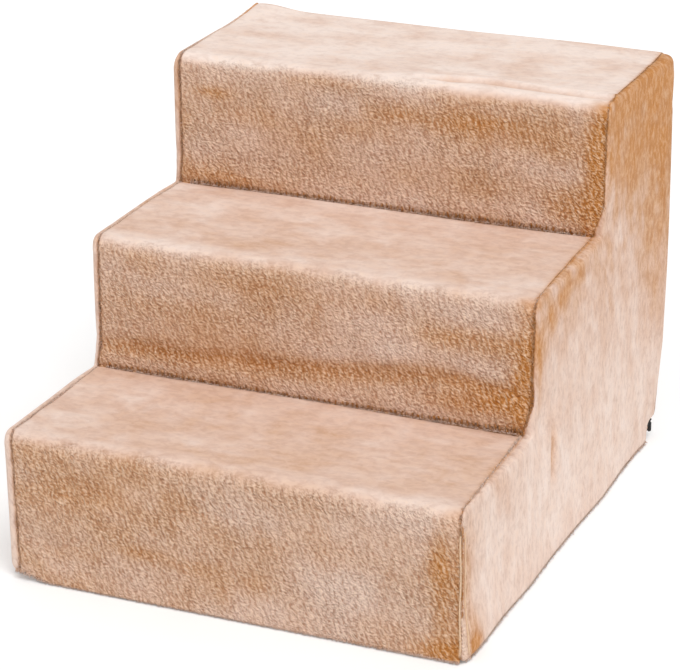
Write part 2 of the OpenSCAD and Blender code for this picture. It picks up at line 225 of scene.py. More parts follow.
def plush_piece(name, node, verts, faces, outer_count, back_count, pile, uv):
    """A cut piece of plush in place of a node: its pile faces come first, then its backing faces, then the
    cut edge, which is left flat shaded."""
    material_of = np.zeros(len(faces), int)
    material_of[outer_count:outer_count + back_count] = 1
    is_smooth = np.arange(len(faces)) < outer_count + back_count
    piece = make_piece(name, verts, faces, [plush, backing], pile, uv, material_of, is_smooth)
    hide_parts(node)
    return piece


# ---------------------------------------------------------------- wiring of shader nodes
class Wiring:
    """Adds nodes to a tree and links them in one call each."""

    def __init__(self, tree):
        self.tree = tree

    def feed(self, socket, value):
        if isinstance(value, bpy.types.NodeSocket):
            self.tree.links.new(value, socket)
        elif value is not None:
            socket.default_value = value

    def feed_all(self, sockets, **values):
        for key, value in values.items():
            self.feed(sockets[key.replace("_", " ")], value)

    def add(self, kind, settings=None, **values):
        made = self.tree.nodes.new("ShaderNode" + kind)
        for key, value in (settings or {}).items():
            setattr(made, key, value)
        self.feed_all(made.inputs, **values)
        return made

    def add_plain(self, kind, settings, *values):
        """A node whose sockets are fed in their order."""
        made = self.add(kind, settings)
        for socket, value in zip(made.inputs, values):
            self.feed(socket, value)
        return made

    def math(self, operation, a, b=None, clamp=False):
        return self.add_plain("Math", {"operation": operation, "use_clamp": clamp}, a, b).outputs[0]

    def vector(self, operation, a, b):
        made = self.add_plain("VectorMath", {"operation": operation}, a, b)
        return made.outputs["Value" if operation == "DOT_PRODUCT" else "Vector"]

    def scaled(self, vector, *factors):
        return self.vector("MULTIPLY", vector, factors)

    def total(self, *parts):
        """Adds up values, each times its share."""
        summed = None
        for value, share in parts:
            part = self.math("MULTIPLY", value, share)
            summed = part if summed is None else self.math("ADD", summed, part)
        return summed

    def noise(self, vector, scale, detail=2.0, roughness=0.5, distortion=0.0):
        made = self.add(
            "TexNoise", Vector=vector, Scale=scale, Detail=detail, Roughness=roughness, Distortion=distortion
        )
        return made.outputs["Fac"]

    def bands(self, vector, scale, direction="X", **settings):
        made = self.add(
            "TexWave", {"wave_type": "BANDS", "bands_direction": direction}, Vector=vector, Scale=scale, **settings
        )
        return made.outputs["Fac"]

    def span(self, value, low, high, out_low=0.0, out_high=1.0):
        made = self.add("MapRange", From_Min=low, From_Max=high, To_Min=out_low, To_Max=out_high)
        self.feed(made.inputs["Value"], value)
        return made.outputs["Result"]

    def blend(self, share, a, b):
        """Mixes two numbers."""
        made = self.add_plain("Mix", None, share, None, a, b)
        return made.outputs[0]

    def mix(self, share, a, b, blend="MIX"):
        """Mixes two colours."""
        made = self.add("Mix", {"data_type": "RGBA", "blend_type": blend, "clamp_factor": True})
        for place, value in ((0, share), (6, a), (7, b)):
            self.feed(made.inputs[place], value)
        return made.outputs[2]

    def ramp(self, value, *stops):
        """Colours along a value; the first and the last stop are at 0 and 1."""
        made = self.add("ValToRGB", None, Fac=value)
        elements = made.color_ramp.elements
        elements[0].color, elements[1].color = stops[0][1], stops[-1][1]
        for at, colour in stops[1:-1]:
            elements.new(at).color = colour
        return made.outputs["Color"]

    def bump(self, strength, depth, height, normal=None):
        made = self.add("Bump", Strength=strength, Distance=depth, Height=height, Normal=normal)
        return made.outputs["Normal"]

    def attributes(self, *names):
        return [self.add("Attribute", {"attribute_name": name}).outputs["Fac"] for name in names]

    def dress(self, **values):
        """Feeds the material's shader."""
        self.feed_all(self.tree.nodes["Principled BSDF"].inputs, **values)

    def seen_directly(self):
        """1 where the camera looks straight, by reflection or through a clear thing."""
        path = self.add("LightPath").outputs
        seen = self.math("MAXIMUM", path["Is Camera Ray"], path["Is Glossy Ray"])
        return self.math("MAXIMUM", seen, path["Is Transmission Ray"])


def srgb(red, green, blue):
    """A colour written as 0 to 255, as Blender's linear values."""
    shares = [v / 255.0 for v in (red, green, blue)]
    return (*(v / 12.92 if v <= 0.04045 else ((v + 0.055) / 1.055) ** 2.4 for v in shares), 1.0)


def fresh_material(name):
    """A new material, its wiring, and the place and the normal of the piece that wears it."""
    material = bpy.data.materials.new(name)
    material.use_nodes = True
    w = Wiring(material.node_tree)
    coordinates = w.add("TexCoord").outputs
    return material, w, coordinates["Object"], coordinates["Normal"]


def effect_group(name, inputs, outputs):
    """An empty node group: its tree, its wiring, what it is given and a way to hand out its results.
    An input with no value is a place."""
    tree = bpy.data.node_groups.new(name, "ShaderNodeTree")
    for label, value in inputs:
        kind = "NodeSocketVector" if value is None else "NodeSocketFloat"
        socket = tree.interface.new_socket(name=label, in_out="INPUT", socket_type=kind)
        if value is not None:
            socket.default_value = value
    for label in outputs:
        tree.interface.new_socket(name=label, in_out="OUTPUT", socket_type="NodeSocketFloat")
    given, result = tree.nodes.new("NodeGroupInput"), tree.nodes.new("NodeGroupOutput")
    w = Wiring(tree)

    def hand_out(**values):
        w.feed_all(result.inputs, **values)

    return tree, w, [given.outputs[label] for label, _ in inputs], hand_out


# ---------------------------------------------------------------- effects that several materials use
def pile_group():
    """Short plush pile: clumps of tufts where it stands up, fine streaks where it lies flat. The streaks run across on
    faces that look up, and down on faces that look sideways. Where the pile stands, Tufts carries a painted light and
    shade on one side of each curl."""
    inputs = [("Place", None), ("Nap", 1.0), ("Upward", 0.0)]
    tree, w, (place, nap, upward), hand_out = effect_group("plush pile", inputs, ["Tufts", "Height", "Mottle"])
    drift = w.add("TexNoise", Vector=place, Scale=140.0, Detail=1.0).outputs["Color"]
    wander = w.scaled(w.vector("SUBTRACT", drift, (0.5, 0.5, 0.5)), 0.0026, 0.0026, 0.0026)
    bent = w.vector("ADD", place, wander)
    split = w.add("SeparateXYZ", Vector=bent).outputs
    aside = w.math("ADD", split["X"], w.math("MULTIPLY", split["Z"], 0.36))
    leaning = w.add("CombineXYZ", X=aside, Y=split["Y"], Z=split["Z"]).outputs[0]
    clumps = w.scaled(leaning, 1.0, 1.0, 0.8)
    # the pile stands up: curls with a painted light and shade on one side, from the difference of the curls' noise at
    # two nearby places, with fibres on them and the ribs of the weave below
    curls = w.noise(clumps, 760.0, 0.0)
    behind = w.noise(w.vector("ADD", clumps, (0.0006, 0.0, -0.0005)), 760.0, 0.0)
    painted_lit_side = w.span(w.math("SUBTRACT", behind, curls), -0.32, 0.32)
    fibres = w.noise(w.scaled(leaning, 1.0, 1.0, 0.55), 1500.0, 1.0)
    combed = w.noise(w.scaled(place, 1.0, 1.0, 0.11), 330.0, 2.0, 0.5, 0.3)
    ribs = w.bands(leaning, 62.0, Distortion=5.0, Detail=1.0, Detail_Scale=2.6)
    curl_height = w.span(curls, 0.2, 0.8)
    fine = [(w.span(value, 0.25, 0.75), share) for value, share in ((fibres, 0.18), (combed, 0.08))]
    standing = w.span(w.total((curl_height, 0.38), (painted_lit_side, 0.22), *fine, (ribs, 0.14)), 0.08, 0.92)
    # the pile lies flat
    across = w.noise(w.scaled(bent, 0.5, 0.8, 1.0), 220.0, 3.0, 0.65, 0.4)
    down = w.noise(w.scaled(leaning, 1.0, 1.0, 0.36), 260.0, 4.0, 0.7, 0.3)
    lying = w.span(w.blend(upward, down, across), 0.28, 0.72)
    patches = w.noise(w.scaled(place, 1.0, 1.0, 0.55), 30.0, 4.0, 0.6, 0.6)
    hand_out(
        Tufts=w.blend(nap, lying, standing), Height=w.blend(nap, lying, curl_height), Mottle=w.span(patches, 0.25, 0.75)
    )
    return tree


def grain_group():
    """Fine moulded or sprayed grain with a few specks, for hard surfaces."""
    inputs = [("Place", None), ("Fineness", 900.0), ("Speckle", 0.2)]
    tree, w, (place, fineness, speckle), hand_out = effect_group("fine grain", inputs, ["Height", "Specks", "Patches"])
    grain = w.add("TexVoronoi", {"feature": "SMOOTH_F1"}, Vector=place, Scale=fineness).outputs["Distance"]
    dots = w.span(w.noise(place, 620.0, 3.0, 0.7), 0.62, 0.7)
    patches = w.noise(place, 18.0, 4.0, 0.6, 0.4)
    hand_out(
        Height=w.total((grain, 0.7), (w.noise(place, 160.0, 3.0, 0.55), 0.6)),
        Specks=w.math("MULTIPLY", dots, speckle),
        Patches=w.span(patches, 0.3, 0.7),
    )
    return tree


def edge_wear_and_highlight_group():
    """Edges with wear, and on pale plastic a painted highlight: the edge mask broken up by noise."""
    inputs = [("Place", None), ("Edge", 0.0), ("Amount", 0.5)]
    tree, w, (place, edge, amount), hand_out = effect_group("edge wear", inputs, ["Wear"])
    broken = w.span(w.noise(place, 320.0, 4.0, 0.65), 0.35, 0.65)
    hand_out(Wear=w.math("MULTIPLY", w.math("MULTIPLY", edge, broken), amount, clamp=True))
    return tree


PILE = pile_group()
GRAIN = grain_group()
EDGE_WEAR_AND_HIGHLIGHT = edge_wear_and_highlight_group()

# ---------------------------------------------------------------- materials
PALE = srgb(242, 224, 214)
PINK = srgb(222, 190, 172)
TAN = srgb(204, 158, 122)
BROWN = srgb(178, 124, 80)
RUST = srgb(198, 134, 68)
# paler fibre ends, and the painted highlight where tufts would catch the light
TIP_AND_HIGHLIGHT = srgb(246, 216, 190)
# deep brown, the painted shade deep in seams and creases
DEEP_SHADE_BROWN = srgb(116, 70, 36)
# the painted shade in the hollows between standing tufts
PIT_SHADE = srgb(178, 138, 98)


def plush_material():
    """Plush by three measures of each place: nap, 0 lying to 1 standing; tone, pale to brown; and parted_and_shaded,
    where the pile is brushed the other way and shows its rust-brown foot, and where the shade of seams and creases is
    painted in as rust brown, from 1.1 as a painted deep brown shade on the deep seam and crease."""
    material, w, place, normal = fresh_material("plush")
    upward = w.math("ABSOLUTE", w.add("SeparateXYZ", Vector=normal).outputs["Z"])
    nap, tone, parted_and_shaded = w.attributes("nap", "tone", "parted_and_shaded")
    pile = w.add("Group", {"node_tree": PILE}, Place=place, Nap=nap, Upward=w.span(upward, 0.5, 0.8)).outputs
    tufts, mottle = pile["Tufts"], pile["Mottle"]

    def by_nap(lying, standing):
        return w.span(nap, 0.0, 1.0, lying, standing)

    mottling = w.math("MULTIPLY", w.math("SUBTRACT", mottle, 0.5), by_nap(0.30, 0.20))
    shade = w.math("ADD", tone, mottling, clamp=True)
    colour = w.ramp(shade, (0, PALE), (0.33, PINK), (0.66, TAN), (1, BROWN))
    broken = w.span(w.total((tufts, 0.65), (mottle, 0.35)), 0.2, 0.8, 1.2, 0.82)
    colour = w.mix(w.math("MULTIPLY", parted_and_shaded, broken, clamp=True), colour, RUST)
    # painted shade: from 1.1 up, deep brown stands for the shade deep in seams and creases
    colour = w.mix(w.span(parted_and_shaded, 1.1, 2.0), colour, DEEP_SHADE_BROWN)
    # painted shade: the hollows between standing tufts are darkened as if shadowed
    painted_pit_shade = w.math("MULTIPLY", w.span(tufts, 0.15, 0.56, 1.0, 0.0), by_nap(0.10, 0.95), clamp=True)
    colour = w.mix(painted_pit_shade, colour, PIT_SHADE, "MULTIPLY")
    # the paler fibre ends also carry a painted highlight, as if they caught the light
    tips_and_painted_highlight = w.math("MULTIPLY", w.span(tufts, 0.45, 0.84), by_nap(0.16, 0.88), clamp=True)
    relief = w.math("MULTIPLY", pile["Height"], by_nap(0.16, 1.0))
    w.dress(
        Base_Color=w.mix(tips_and_painted_highlight, colour, TIP_AND_HIGHLIGHT),
        Roughness=w.span(tufts, 0.0, 1.0, 0.98, 0.84),
        Specular_IOR_Level=0.12,
        Sheen_Weight=0.2,
        Sheen_Roughness=0.5,
        Sheen_Tint=srgb(255, 238, 226),
        Normal=w.bump(1.0, 0.0016, relief),
    )
    return material


def threaded_material(name, pattern, low, high, dark, light, matt, glossy, strength, depth, specular=0.5):
    """Yarn, filament or woven tape. pattern makes the height of its threads, from low to high, out of the
    wiring and the place."""
    material, w, place, _ = fresh_material(name)
    height = pattern(w, place)
    share = w.span(height, low, high)
    w.dress(
        Base_Color=w.mix(share, srgb(*dark), srgb(*light)),
        Roughness=w.span(share, 0.0, 1.0, matt, glossy),
        Specular_IOR_Level=specular,
        Normal=w.bump(strength, depth, height),
    )
    return material


def knit(w, place):
    """The knitted back of the plush, seen from inside the cover."""
    wales = w.bands(place, 260.0, Distortion=1.5, Detail=2.0)
    return w.math("MULTIPLY", wales, w.noise(w.scaled(place, 1.0, 1.0, 2.4), 500.0))


def twist(w, place):
    return w.bands(place, 620.0, "DIAGONAL", Distortion=0.6)


def weave(w, place):
    """Herringbone ribs along the zip's tape, crossed by the weft."""
    rib_pitch, weft_pitch = 0.0009, 0.0007
    turned = w.add("VectorRotate", {"rotation_type": "Z_AXIS"}, Vector=place, Angle=-math.pi / 4).outputs["Vector"]
    split = w.add("SeparateXYZ", Vector=turned).outputs
    across = w.math("ADD", split["X"], split["Y"])
    ribs = w.math("SINE", w.math("MULTIPLY", across, 2 * math.pi / rib_pitch))
    weft = w.math("SINE", w.total((split["Z"], 2 * math.pi / weft_pitch), (ribs, 1.1)))
    return w.span(w.total((ribs, 0.5), (weft, 1.0)), -1.5, 1.5)


def drawn_line(w, place):
    """The fine drawn line of a nylon filament."""
    return w.noise(w.scaled(place, 1.0, 1.0, 3.0), 900.0, 3.0, 0.6)


def hard_material(name, colours, roughness, fineness, relief, speckle, wear, radius, coat=0.0):
    """A moulded, sprayed or rubber finish: fine grain, faint patches, a few specks and edges with wear. The colours are
    the base, its patches, its specks and its edge colour, which shows wear, and on the white frame plastic is paler as
    a painted highlight. An edge is found by how far a rounded normal leans from the true one."""
    base, patch, speck, worn_and_highlit = (srgb(*colour) for colour in colours)
    material, w, place, _ = fresh_material(name)
    rounded = w.add("Bevel", {"samples": 4}, Radius=radius).outputs["Normal"]
    lean = w.vector("DOT_PRODUCT", rounded, w.add("NewGeometry").outputs["Normal"])
    edge = w.span(lean, 0.9, 0.995, 1.0, 0.0)
    grain = w.add("Group", {"node_tree": GRAIN}, Place=place, Fineness=fineness, Speckle=speckle).outputs
    rubbed_and_highlit = w.add("Group", {"node_tree": EDGE_WEAR_AND_HIGHLIGHT}, Place=place, Edge=edge, Amount=wear).outputs["Wear"]
    colour = w.mix(grain["Specks"], w.mix(grain["Patches"], base, patch), speck)
    matt = w.span(grain["Patches"], 0.0, 1.0, roughness - 0.05, roughness + 0.07)
    w.dress(
        Base_Color=w.mix(rubbed_and_highlit, colour, worn_and_highlit),
        Roughness=w.math("SUBTRACT", matt, w.math("MULTIPLY", rubbed_and_highlit, 0.15)),
        Coat_Weight=coat,
        Coat_Roughness=0.25,
        Normal=w.bump(0.5, relief, grain["Height"], rounded),
    )
    return material


plush = plush_material()
backing = threaded_material(
    "knit backing", knit, 0.0, 0.6, (196, 170, 150), (232, 214, 198), 0.95, 0.82, 0.5, 0.0004, 0.2
)
thread = threaded_material("seam thread", twist, 0.0, 1.0, (216, 172, 130), (248, 220, 190), 0.75, 0.5, 0.6, 0.0003)
tape = threaded_material("zip tape weave", weave, 0.0, 1.0, (132, 100, 78), (190, 158, 134), 0.95, 0.78, 0.7, 0.0002)
nylon = threaded_material(
    "zip coil nylon", drawn_line, 0.3, 0.7, (158, 122, 96), (198, 166, 140), 0.28, 0.42, 0.3, 0.00008
)
# the frame plastic's paler edge colour is a painted highlight along its edges
plastic = hard_material(
    "frame plastic", ((236, 235, 230), (228, 226, 220), (206, 203, 196), (246, 246, 243)),
    roughness=0.42, fineness=1400.0, relief=0.00012, speckle=0.12, wear=0.5, radius=0.0008,
)
tube_paint = hard_material(
    "tube paint", ((206, 208, 210), (196, 199, 202), (160, 162, 166), (146, 146, 148)),
    roughness=0.36, fineness=700.0, relief=0.00016, speckle=0.25, wear=0.8, radius=0.0006, coat=0.15,
)
rubber = hard_material(
    "foot rubber", ((38, 37, 36), (50, 48, 46), (92, 88, 84), (74, 71, 68)),
    roughness=0.72, fineness=1100.0, relief=0.00018, speckle=0.5, wear=0.6, radius=0.0008,
)
black_metal = hard_material(
    "black zip metal", ((14, 14, 15), (22, 22, 23), (44, 43, 42), (92, 88, 82)),
    roughness=0.45, fineness=1600.0, relief=0.00005, speckle=0.2, wear=0.6, radius=0.00025, coat=0.1,
)


# ---------------------------------------------------------------- the step strip
ROW_KEYS = ("y", "z", "ny", "nz", "iy", "iz", "riser", "height", "gap", "step", "along")
FAR_FROM_CREASE = 1.0


def strip_profile():
    """The strip's side view from the front hem up over the treads to the back seam, one row per place: its
    pile face and its outward normal, its lining, 1 on risers and 0 on treads, how far up the riser or back on
    the tread it lies, its distance from a crease, its step and how far along the strip it lies. For each
    step, marks tell how far along lie 25 mm above the riser's foot, its head, and the tread's front and rear."""
    rows = {key: [] for key in ROW_KEYS}
    marks = []

    def put(*values):
        for key, value in zip(ROW_KEYS, values):
            rows[key].append(value)

    along = 0.0
    inner_r = NOSING_R - PLUSH
    nosing_turns = 14
    for i in range(3):
        foot = HEM_Z if i == 0 else TOP[i - 1]
        head = TOP[i] - NOSING_R
        inner_foot = HEM_Z if i == 0 else TREAD_Z[i - 1] - PLUSH
        inner_head = TREAD_Z[i] - NOSING_R
        length = head - foot
        for d in stations(length, 1.7, 0.8, 5)[:-1]:
            ny, nz = (-0.7071, 0.7071) if i > 0 and d == 0 else (-1.0, 0.0)
            inner_z = inner_foot + d / length * (inner_head - inner_foot)
            gap = d if i else FAR_FROM_CREASE
            put(FRONT[i], foot + d, ny, nz, RISER_Y[i] + PLUSH, inner_z, 1.0, d, gap, i, along + d)
        marks += [along + 25 * MM, along + length]
        along += length
        for k in range(nosing_turns):
            a = math.radians(90.0 * k / nosing_turns)
            ny, nz = -math.cos(a), math.sin(a)
            y, z = FRONT[i] + NOSING_R * (1 + ny), head + NOSING_R * nz
            inner_y, inner_z = RISER_Y[i] + NOSING_R + inner_r * ny, inner_head + inner_r * nz
            bend = a * NOSING_R
            put(y, z, ny, nz, inner_y, inner_z, 1.0 - k / nosing_turns, length + bend, FAR_FROM_CREASE, i, along + bend)
        along += NOSING_R * math.pi / 2
        start = FRONT[i] + NOSING_R
        end = REAR - REAR_R if i == 2 else FRONT[i + 1]
        inner_start = RISER_Y[i] + NOSING_R
        inner_end = BACK_Y - NOSING_R if i == 2 else RISER_Y[i + 1] + PLUSH
        length = end - start
        for d in stations(length, 2.5, 0.9, 5)[:-1]:
            inner_y = inner_start + d / length * (inner_end - inner_start)
            gap = length - d if i < 2 else FAR_FROM_CREASE
            put(start + d, TOP[i], 0.0, 1.0, inner_y, TREAD_Z[i] - PLUSH, 0.0, d, gap, i, along + d)
        marks += [along, along + length]
        along += length
    rear_turns = 12
    for k in range(rear_turns):
        a = math.radians(90.0 * k / rear_turns)
        ny, nz = math.sin(a), math.cos(a)
        y, z = REAR - REAR_R * (1 - ny), TOP[2] - REAR_R * (1 - nz)
        inner_y, inner_z = BACK_Y - NOSING_R + inner_r * ny, TREAD_Z[2] - NOSING_R + inner_r * nz
        put(y, z, ny, nz, inner_y, inner_z, 0.0, 0.0, FAR_FROM_CREASE, 3, along + a * REAR_R)
    along += REAR_R * math.pi / 2
    length = TOP[2] - REAR_R - BACK_SEAM_Z
    for d in stations(length, 2.2, 0.8, 4):
        z = TOP[2] - REAR_R - d
        inner_z = min(z, TREAD_Z[2] - NOSING_R)
        put(REAR, z, 1.0, 0.0, BACK_Y - PLUSH, inner_z, 0.0, 0.0, FAR_FROM_CREASE, 3, along + d)
    return {key: np.array(value, float) for key, value in rows.items()}, along + length, marks


ROWS, STRIP_LENGTH, MARKS = strip_profile()


def seam_x(along, side):
    """How far from the middle the seam runs, with the little wander of a hand-guided seam."""
    knots = RIGHT_SEAM if side > 0 else LEFT_SEAM
    middle = np.interp(along, [0.0] + MARKS, np.array(knots) * MM)
    return middle + 0.35 * MM * ripples(along, side, (11, 1000), 17)


def closed_grid(outer, inner, every):
    """Vertices and faces of a sheet with an outer and an inner face, of which the inner one is coarser;
    then the counts of its outer and its inner faces, and where the inner vertices lie in the grid."""
    rows, columns = outer.shape[:2]
    pick_r = np.unique(np.append(np.arange(0, rows, every), rows - 1))
    pick_c = np.unique(np.append(np.arange(0, columns, every), columns - 1))
    picked = np.ix_(pick_r, pick_c)
    verts = np.concatenate([outer.reshape(-1, 3), inner[picked].reshape(-1, 3)])
    base, wide = rows * columns, len(pick_c)
    r, c = np.meshgrid(np.arange(rows - 1), np.arange(columns - 1), indexing="ij")
    first = (r * columns + c).ravel()
    faces = np.stack([first, first + 1, first + columns + 1, first + columns], 1).tolist()
    outer_count = len(faces)
    for a in range(len(pick_r) - 1):
        for b in range(wide - 1):
            q = base + a * wide + b
            faces.append([q, q + wide, q + wide + 1, q + 1])
    inner_count = len(faces) - outer_count
    for a in range(len(pick_r) - 1):
        run = [k * columns for k in range(pick_r[a], pick_r[a + 1] + 1)]
        q = base + a * wide
        faces.append(run + [q + wide, q])
        faces.append([k + columns - 1 for k in run[::-1]] + [q + wide - 1, q + 2 * wide - 1])
    last, top = (rows - 1) * columns, base + (len(pick_r) - 1) * wide
    for b in range(wide - 1):
        run = list(range(pick_c[b], pick_c[b + 1] + 1))
        faces.append(run[::-1] + [base + b, base + b + 1])
        faces.append([last + k for k in run] + [top + b + 1, top + b])
    return verts, faces, outer_count, inner_count, picked


def grid_piece(name, node, outer, inner, pile, u, v):
    """A plush piece made of one closed grid, with its pile painted on the outer face."""
    verts, faces, outer_count, inner_count, picked = closed_grid(outer, inner, 7)
    inside = np.zeros(inner[picked].shape[:2]).ravel()
    painted = {key: np.concatenate([np.clip(value, 0, 2).ravel(), inside]) for key, value in pile.items()}
    uv_outer = np.stack([0.02 + 0.62 * u, 0.01 + 0.98 * v], -1).reshape(-1, 2)
    uv_inner = np.stack([0.66 + 0.32 * u, 0.01 + 0.98 * v], -1)[picked].reshape(-1, 2)
    uv = np.concatenate([uv_outer, uv_inner])
    return plush_piece(name, node, verts, faces, outer_count, inner_count, painted, uv)


# brown places on each riser: across and up from the riser's foot, half widths, strength
RISER_MARKS = (
    (
        (-128, 82, 34, 11, 0.42), (-140, 30, 30, 9, 0.3), (-74, 41, 24, 6, 0.55), (-36, 36, 30, 6, 0.3),
        (70, 60, 60, 12, 0.16), (168, 6, 15, 9, 1.4), (167, 76, 8, 26, 0.95), (169, 36, 7, 20, 0.5),
        (182, 56, 4, 50, 0.45),
    ),
    (
        (138, 19, 34, 9, 0.75), (150, 60, 22, 14, 0.2), (-20, 88, 90, 7, 0.22), (130, 71, 34, 9, 0.5),
        (174, 44, 14, 36, 0.6), (150, 24, 16, 10, 0.3),
    ),
    (
        (8, 82, 22, 8, 0.6), (84, 79, 52, 12, 0.9), (150, 66, 16, 10, 0.3), (160, 22, 18, 13, 0.8),
        (-118, 62, 32, 8, 0.4), (-154, 80, 14, 5, 0.6), (-60, 18, 80, 10, 0.12), (-150, 7, 50, 5, 0.5),
        (173, 58, 9, 40, 0.6),
    ),
)
# the pressed-in band of the middle riser: across, height above the tread, strength
BAND_X = (-190, -150, -86, 8, 60, 100, 140, 190)
BAND_HEIGHT = (19, 21, 23, 26, 33, 37, 35, 30)
BAND_STRENGTH = (0.5, 1.0, 0.95, 0.95, 0.85, 0.7, 0.9, 0.9)
# the slack fold on the top tread: across, distance behind the nosing
RIDGE_X, RIDGE_BEHIND = (-10, 40, 75, 120, 175), (0, 10, 19, 17, 11)
# the slanting dent at the lowest riser's left foot: across, height
DENT_X, DENT_HEIGHT = (-182, -150, -120, -80), (44, 30, 16, 4)


def ear(x, along):
    """The corner of the top tread at the rear left, where the seams meet and stand up a little."""
    return 4.4 * MM * hump(x, -172, 23) * hump(along - MARKS[11], 2, 34)


def hem_rise(x):
    """The front hem is pulled up a little at the left."""
    return 6 * MM * rise(-x, 150, 35)


def build_strip():
    x = stations(2 * HALF_WIDTH, 1.9, 0.7, 5) - HALF_WIDTH
    X = np.broadcast_to(x, (len(ROWS["y"]), len(x)))
    row = {key: np.broadcast_to(values[:, None], X.shape) for key, values in ROWS.items()}
    riser, height, gap, step, along = (row[key] for key in ("riser", "height", "gap", "step", "along"))
    on_riser, on_tread = riser > 0, 1 - smooth(riser * 2.0)
    soft_side = 1 - on_tread
    right_edge, left_edge = HALF_WIDTH - X, HALF_WIDTH + X

    def ripple(across, up, seed):
        return ripples(X, along, (across, up), seed)

    def by_step(*values):
        return np.choose(step.astype(int), [value + 0 * X for value in values])

    band_height = height - MM * (curve(X, BAND_X, BAND_HEIGHT) + 1.5 * ripple(30, 500, 21))
    band = (step == 1) * on_riser * hump(band_height, 0, 7.5) * curve(X, BAND_X, BAND_STRENGTH)
    past_ridge = height - MM * curve(X, RIDGE_X, RIDGE_BEHIND)
    ridge_reach = rise(X, -10, 60) * (step == 2) * (riser == 0)
    past_dent = height - MM * curve(X, DENT_X, DENT_HEIGHT)
    crease_pinch_and_shade = fading(gap, 1.8)

    # how far the pile face stands out, in mm
    lift = 0.9 * ripple(100, 50, 3) + 0.45 * ripple(35, 20, 5)
    lift += riser * (0.32 * ripple(9, 11, 8) + 0.24 * ripple(4.2, 6, 13) + 0.8 * hump(height, 60, 22))
    lift += riser * (step > 0) * 0.9 * hump(height, 9, 8)
    lift -= riser * (step == 0) * 1.2 * hump(past_dent, 0, 7) * fall(X, -125, 40)
    lift -= 1.9 * band + 1.4 * crease_pinch_and_shade
    lift -= 1.1 * soft_side * fall(right_edge, 0, 9) + 0.2 * on_tread * fall(right_edge, 0, 3)
    lift -= roll(left_edge, 2.4, 1.3) + roll(along, 1.6, 1.0) + roll(STRIP_LENGTH - along, 2.4, 2.0)
    lift += rise(along - MARKS[10], 60, 80) + 1.2 * fall(along, 0, 28)
    lift += ridge_reach * (2.1 * hump(past_ridge, 0, 2.4) - 1.9 * hump(past_ridge, -8, 4))
    lift = lift * MM + ear(X, along)

    shift = 0
    for side in (1, -1):
        toward = smooth((side * X - 120 * MM) / (HALF_WIDTH - 120 * MM))
        shift = shift + side * toward * (seam_x(along, side) - SEAM_X)
    raised = hem_rise(X) * fall(along, 0, 22)
    outer = np.stack([X + shift, row["y"] + row["ny"] * lift, row["z"] + row["nz"] * lift + raised], -1)
    inner = np.stack([X * (LINING_X / HALF_WIDTH), row["iy"], row["iz"] + raised], -1)

    # the pile stands on risers and lies on treads, with a ragged line between the two
    past_front = along - by_step(MARKS[2], MARKS[6], MARKS[10], -1.0)
    ragged = 0.28 * ripple(12, 20, 33) - 0.35 * (step == 2) * rise(X, 10, 60)
    nap = smooth(riser * 1.5 - 0.15 + ragged * (riser < 1)) * 0.95 + 0.05
    nap *= 1 - riser * (0.10 - 0.12 * ripple(35, 20, 38))
    nap *= 1 - 0.58 * riser * hump(past_front, 1, 12) * (0.8 + 0.5 * ripple(20, 20, 34))

    tread_tone = by_step(0.37, 0.31, 0.08, 0.35) - 0.10 * (step < 2) * rise(-X, 90, 60)
    riser_tone = by_step(0.56 - 0.12 * rise(X, -60, 120), 0.55 - 0.14 * rise(X, -40, 90), 0.49, 0.4)
    tone = tread_tone + (riser_tone - tread_tone) * smooth(riser * 1.5 - 0.35)
    tone += 0.11 * ripple(70, 25, 31) + 0.07 * (1 - riser) * ripple(22, 7, 36) + 0.05 * riser * ripple(100, 30, 37)
    tone += (0.03 + 0.09 * riser) * ripples(X + 0.4 * along, along, (34, 18), 32)
    # painted highlight: paler along the front of each nosing
    tone -= 0.09 * hump(past_front, -2, 9)
    # painted light and shade on the top tread's slack fold: paler on its ridge, browner in the valley in front of it
    tone += ridge_reach * (0.24 * hump(past_ridge, -8, 4) - 0.10 * hump(past_ridge, 0, 2.6))
    # browner in the pressed-in band, partly as pile brushed there and partly as painted shade of its dent, and browner
    # at each riser's foot as painted shade of the crease
    tone += 0.42 * band + 0.25 * crease_pinch_and_shade * on_riser
    # painted highlight: paler just above the middle riser's band, on its right half
    tone -= 0.15 * (step == 1) * riser * hump(band_height, 17, 9) * rise(X, 10, 70)

    marked = sum((step == i) * on_riser * brushed(marks, X, height) for i, marks in enumerate(RISER_MARKS))
    marked = marked * (0.85 + 0.3 * ripple(20, 12, 43))
    tone += 0.34 * marked
    # the band's brown is partly pile brushed the other way, partly painted shade of its dent
    parted_and_shaded = 0.62 * band * (0.75 + 0.35 * ripple(50, 20, 41)) + marked
    edge_strength = by_step(0.25, 0.55 + 0.5 * hump(height, 42, 34), 1.0 - 0.3 * rise(height, 85, 12), 0)
    parted_and_shaded += soft_side * edge_strength * hump(right_edge, 3, 10) * (0.85 + 0.4 * ripple(20, 20, 42))
    parted_and_shaded = np.minimum(parted_and_shaded, 1.05)
    # browner at both seams: partly the parted pile along the seam, partly painted shade of its groove
    parted_and_shaded += (0.4 + 0.45 * on_tread) * fading(right_edge, 1.3) + (0.25 + 0.35 * soft_side) * fading(left_edge, 1)
    # painted shade: browner in the crease at each riser's foot, more on the tread's side
    parted_and_shaded += (0.4 + 0.3 * ripple(6, 100, 44)) * fading(gap, 1.5) * np.where(on_riser, 1.0, 1.5)

    pile = {"nap": nap, "tone": tone, "parted_and_shaded": parted_and_shaded}
    share = (X + HALF_WIDTH) / (2 * HALF_WIDTH)
    piece = grid_piece("cover_strip_plush", "cover_step_strip", outer, inner, pile, share, along / STRIP_LENGTH)
    return piece, {1: lift[:, -1], -1: lift[:, 0]}


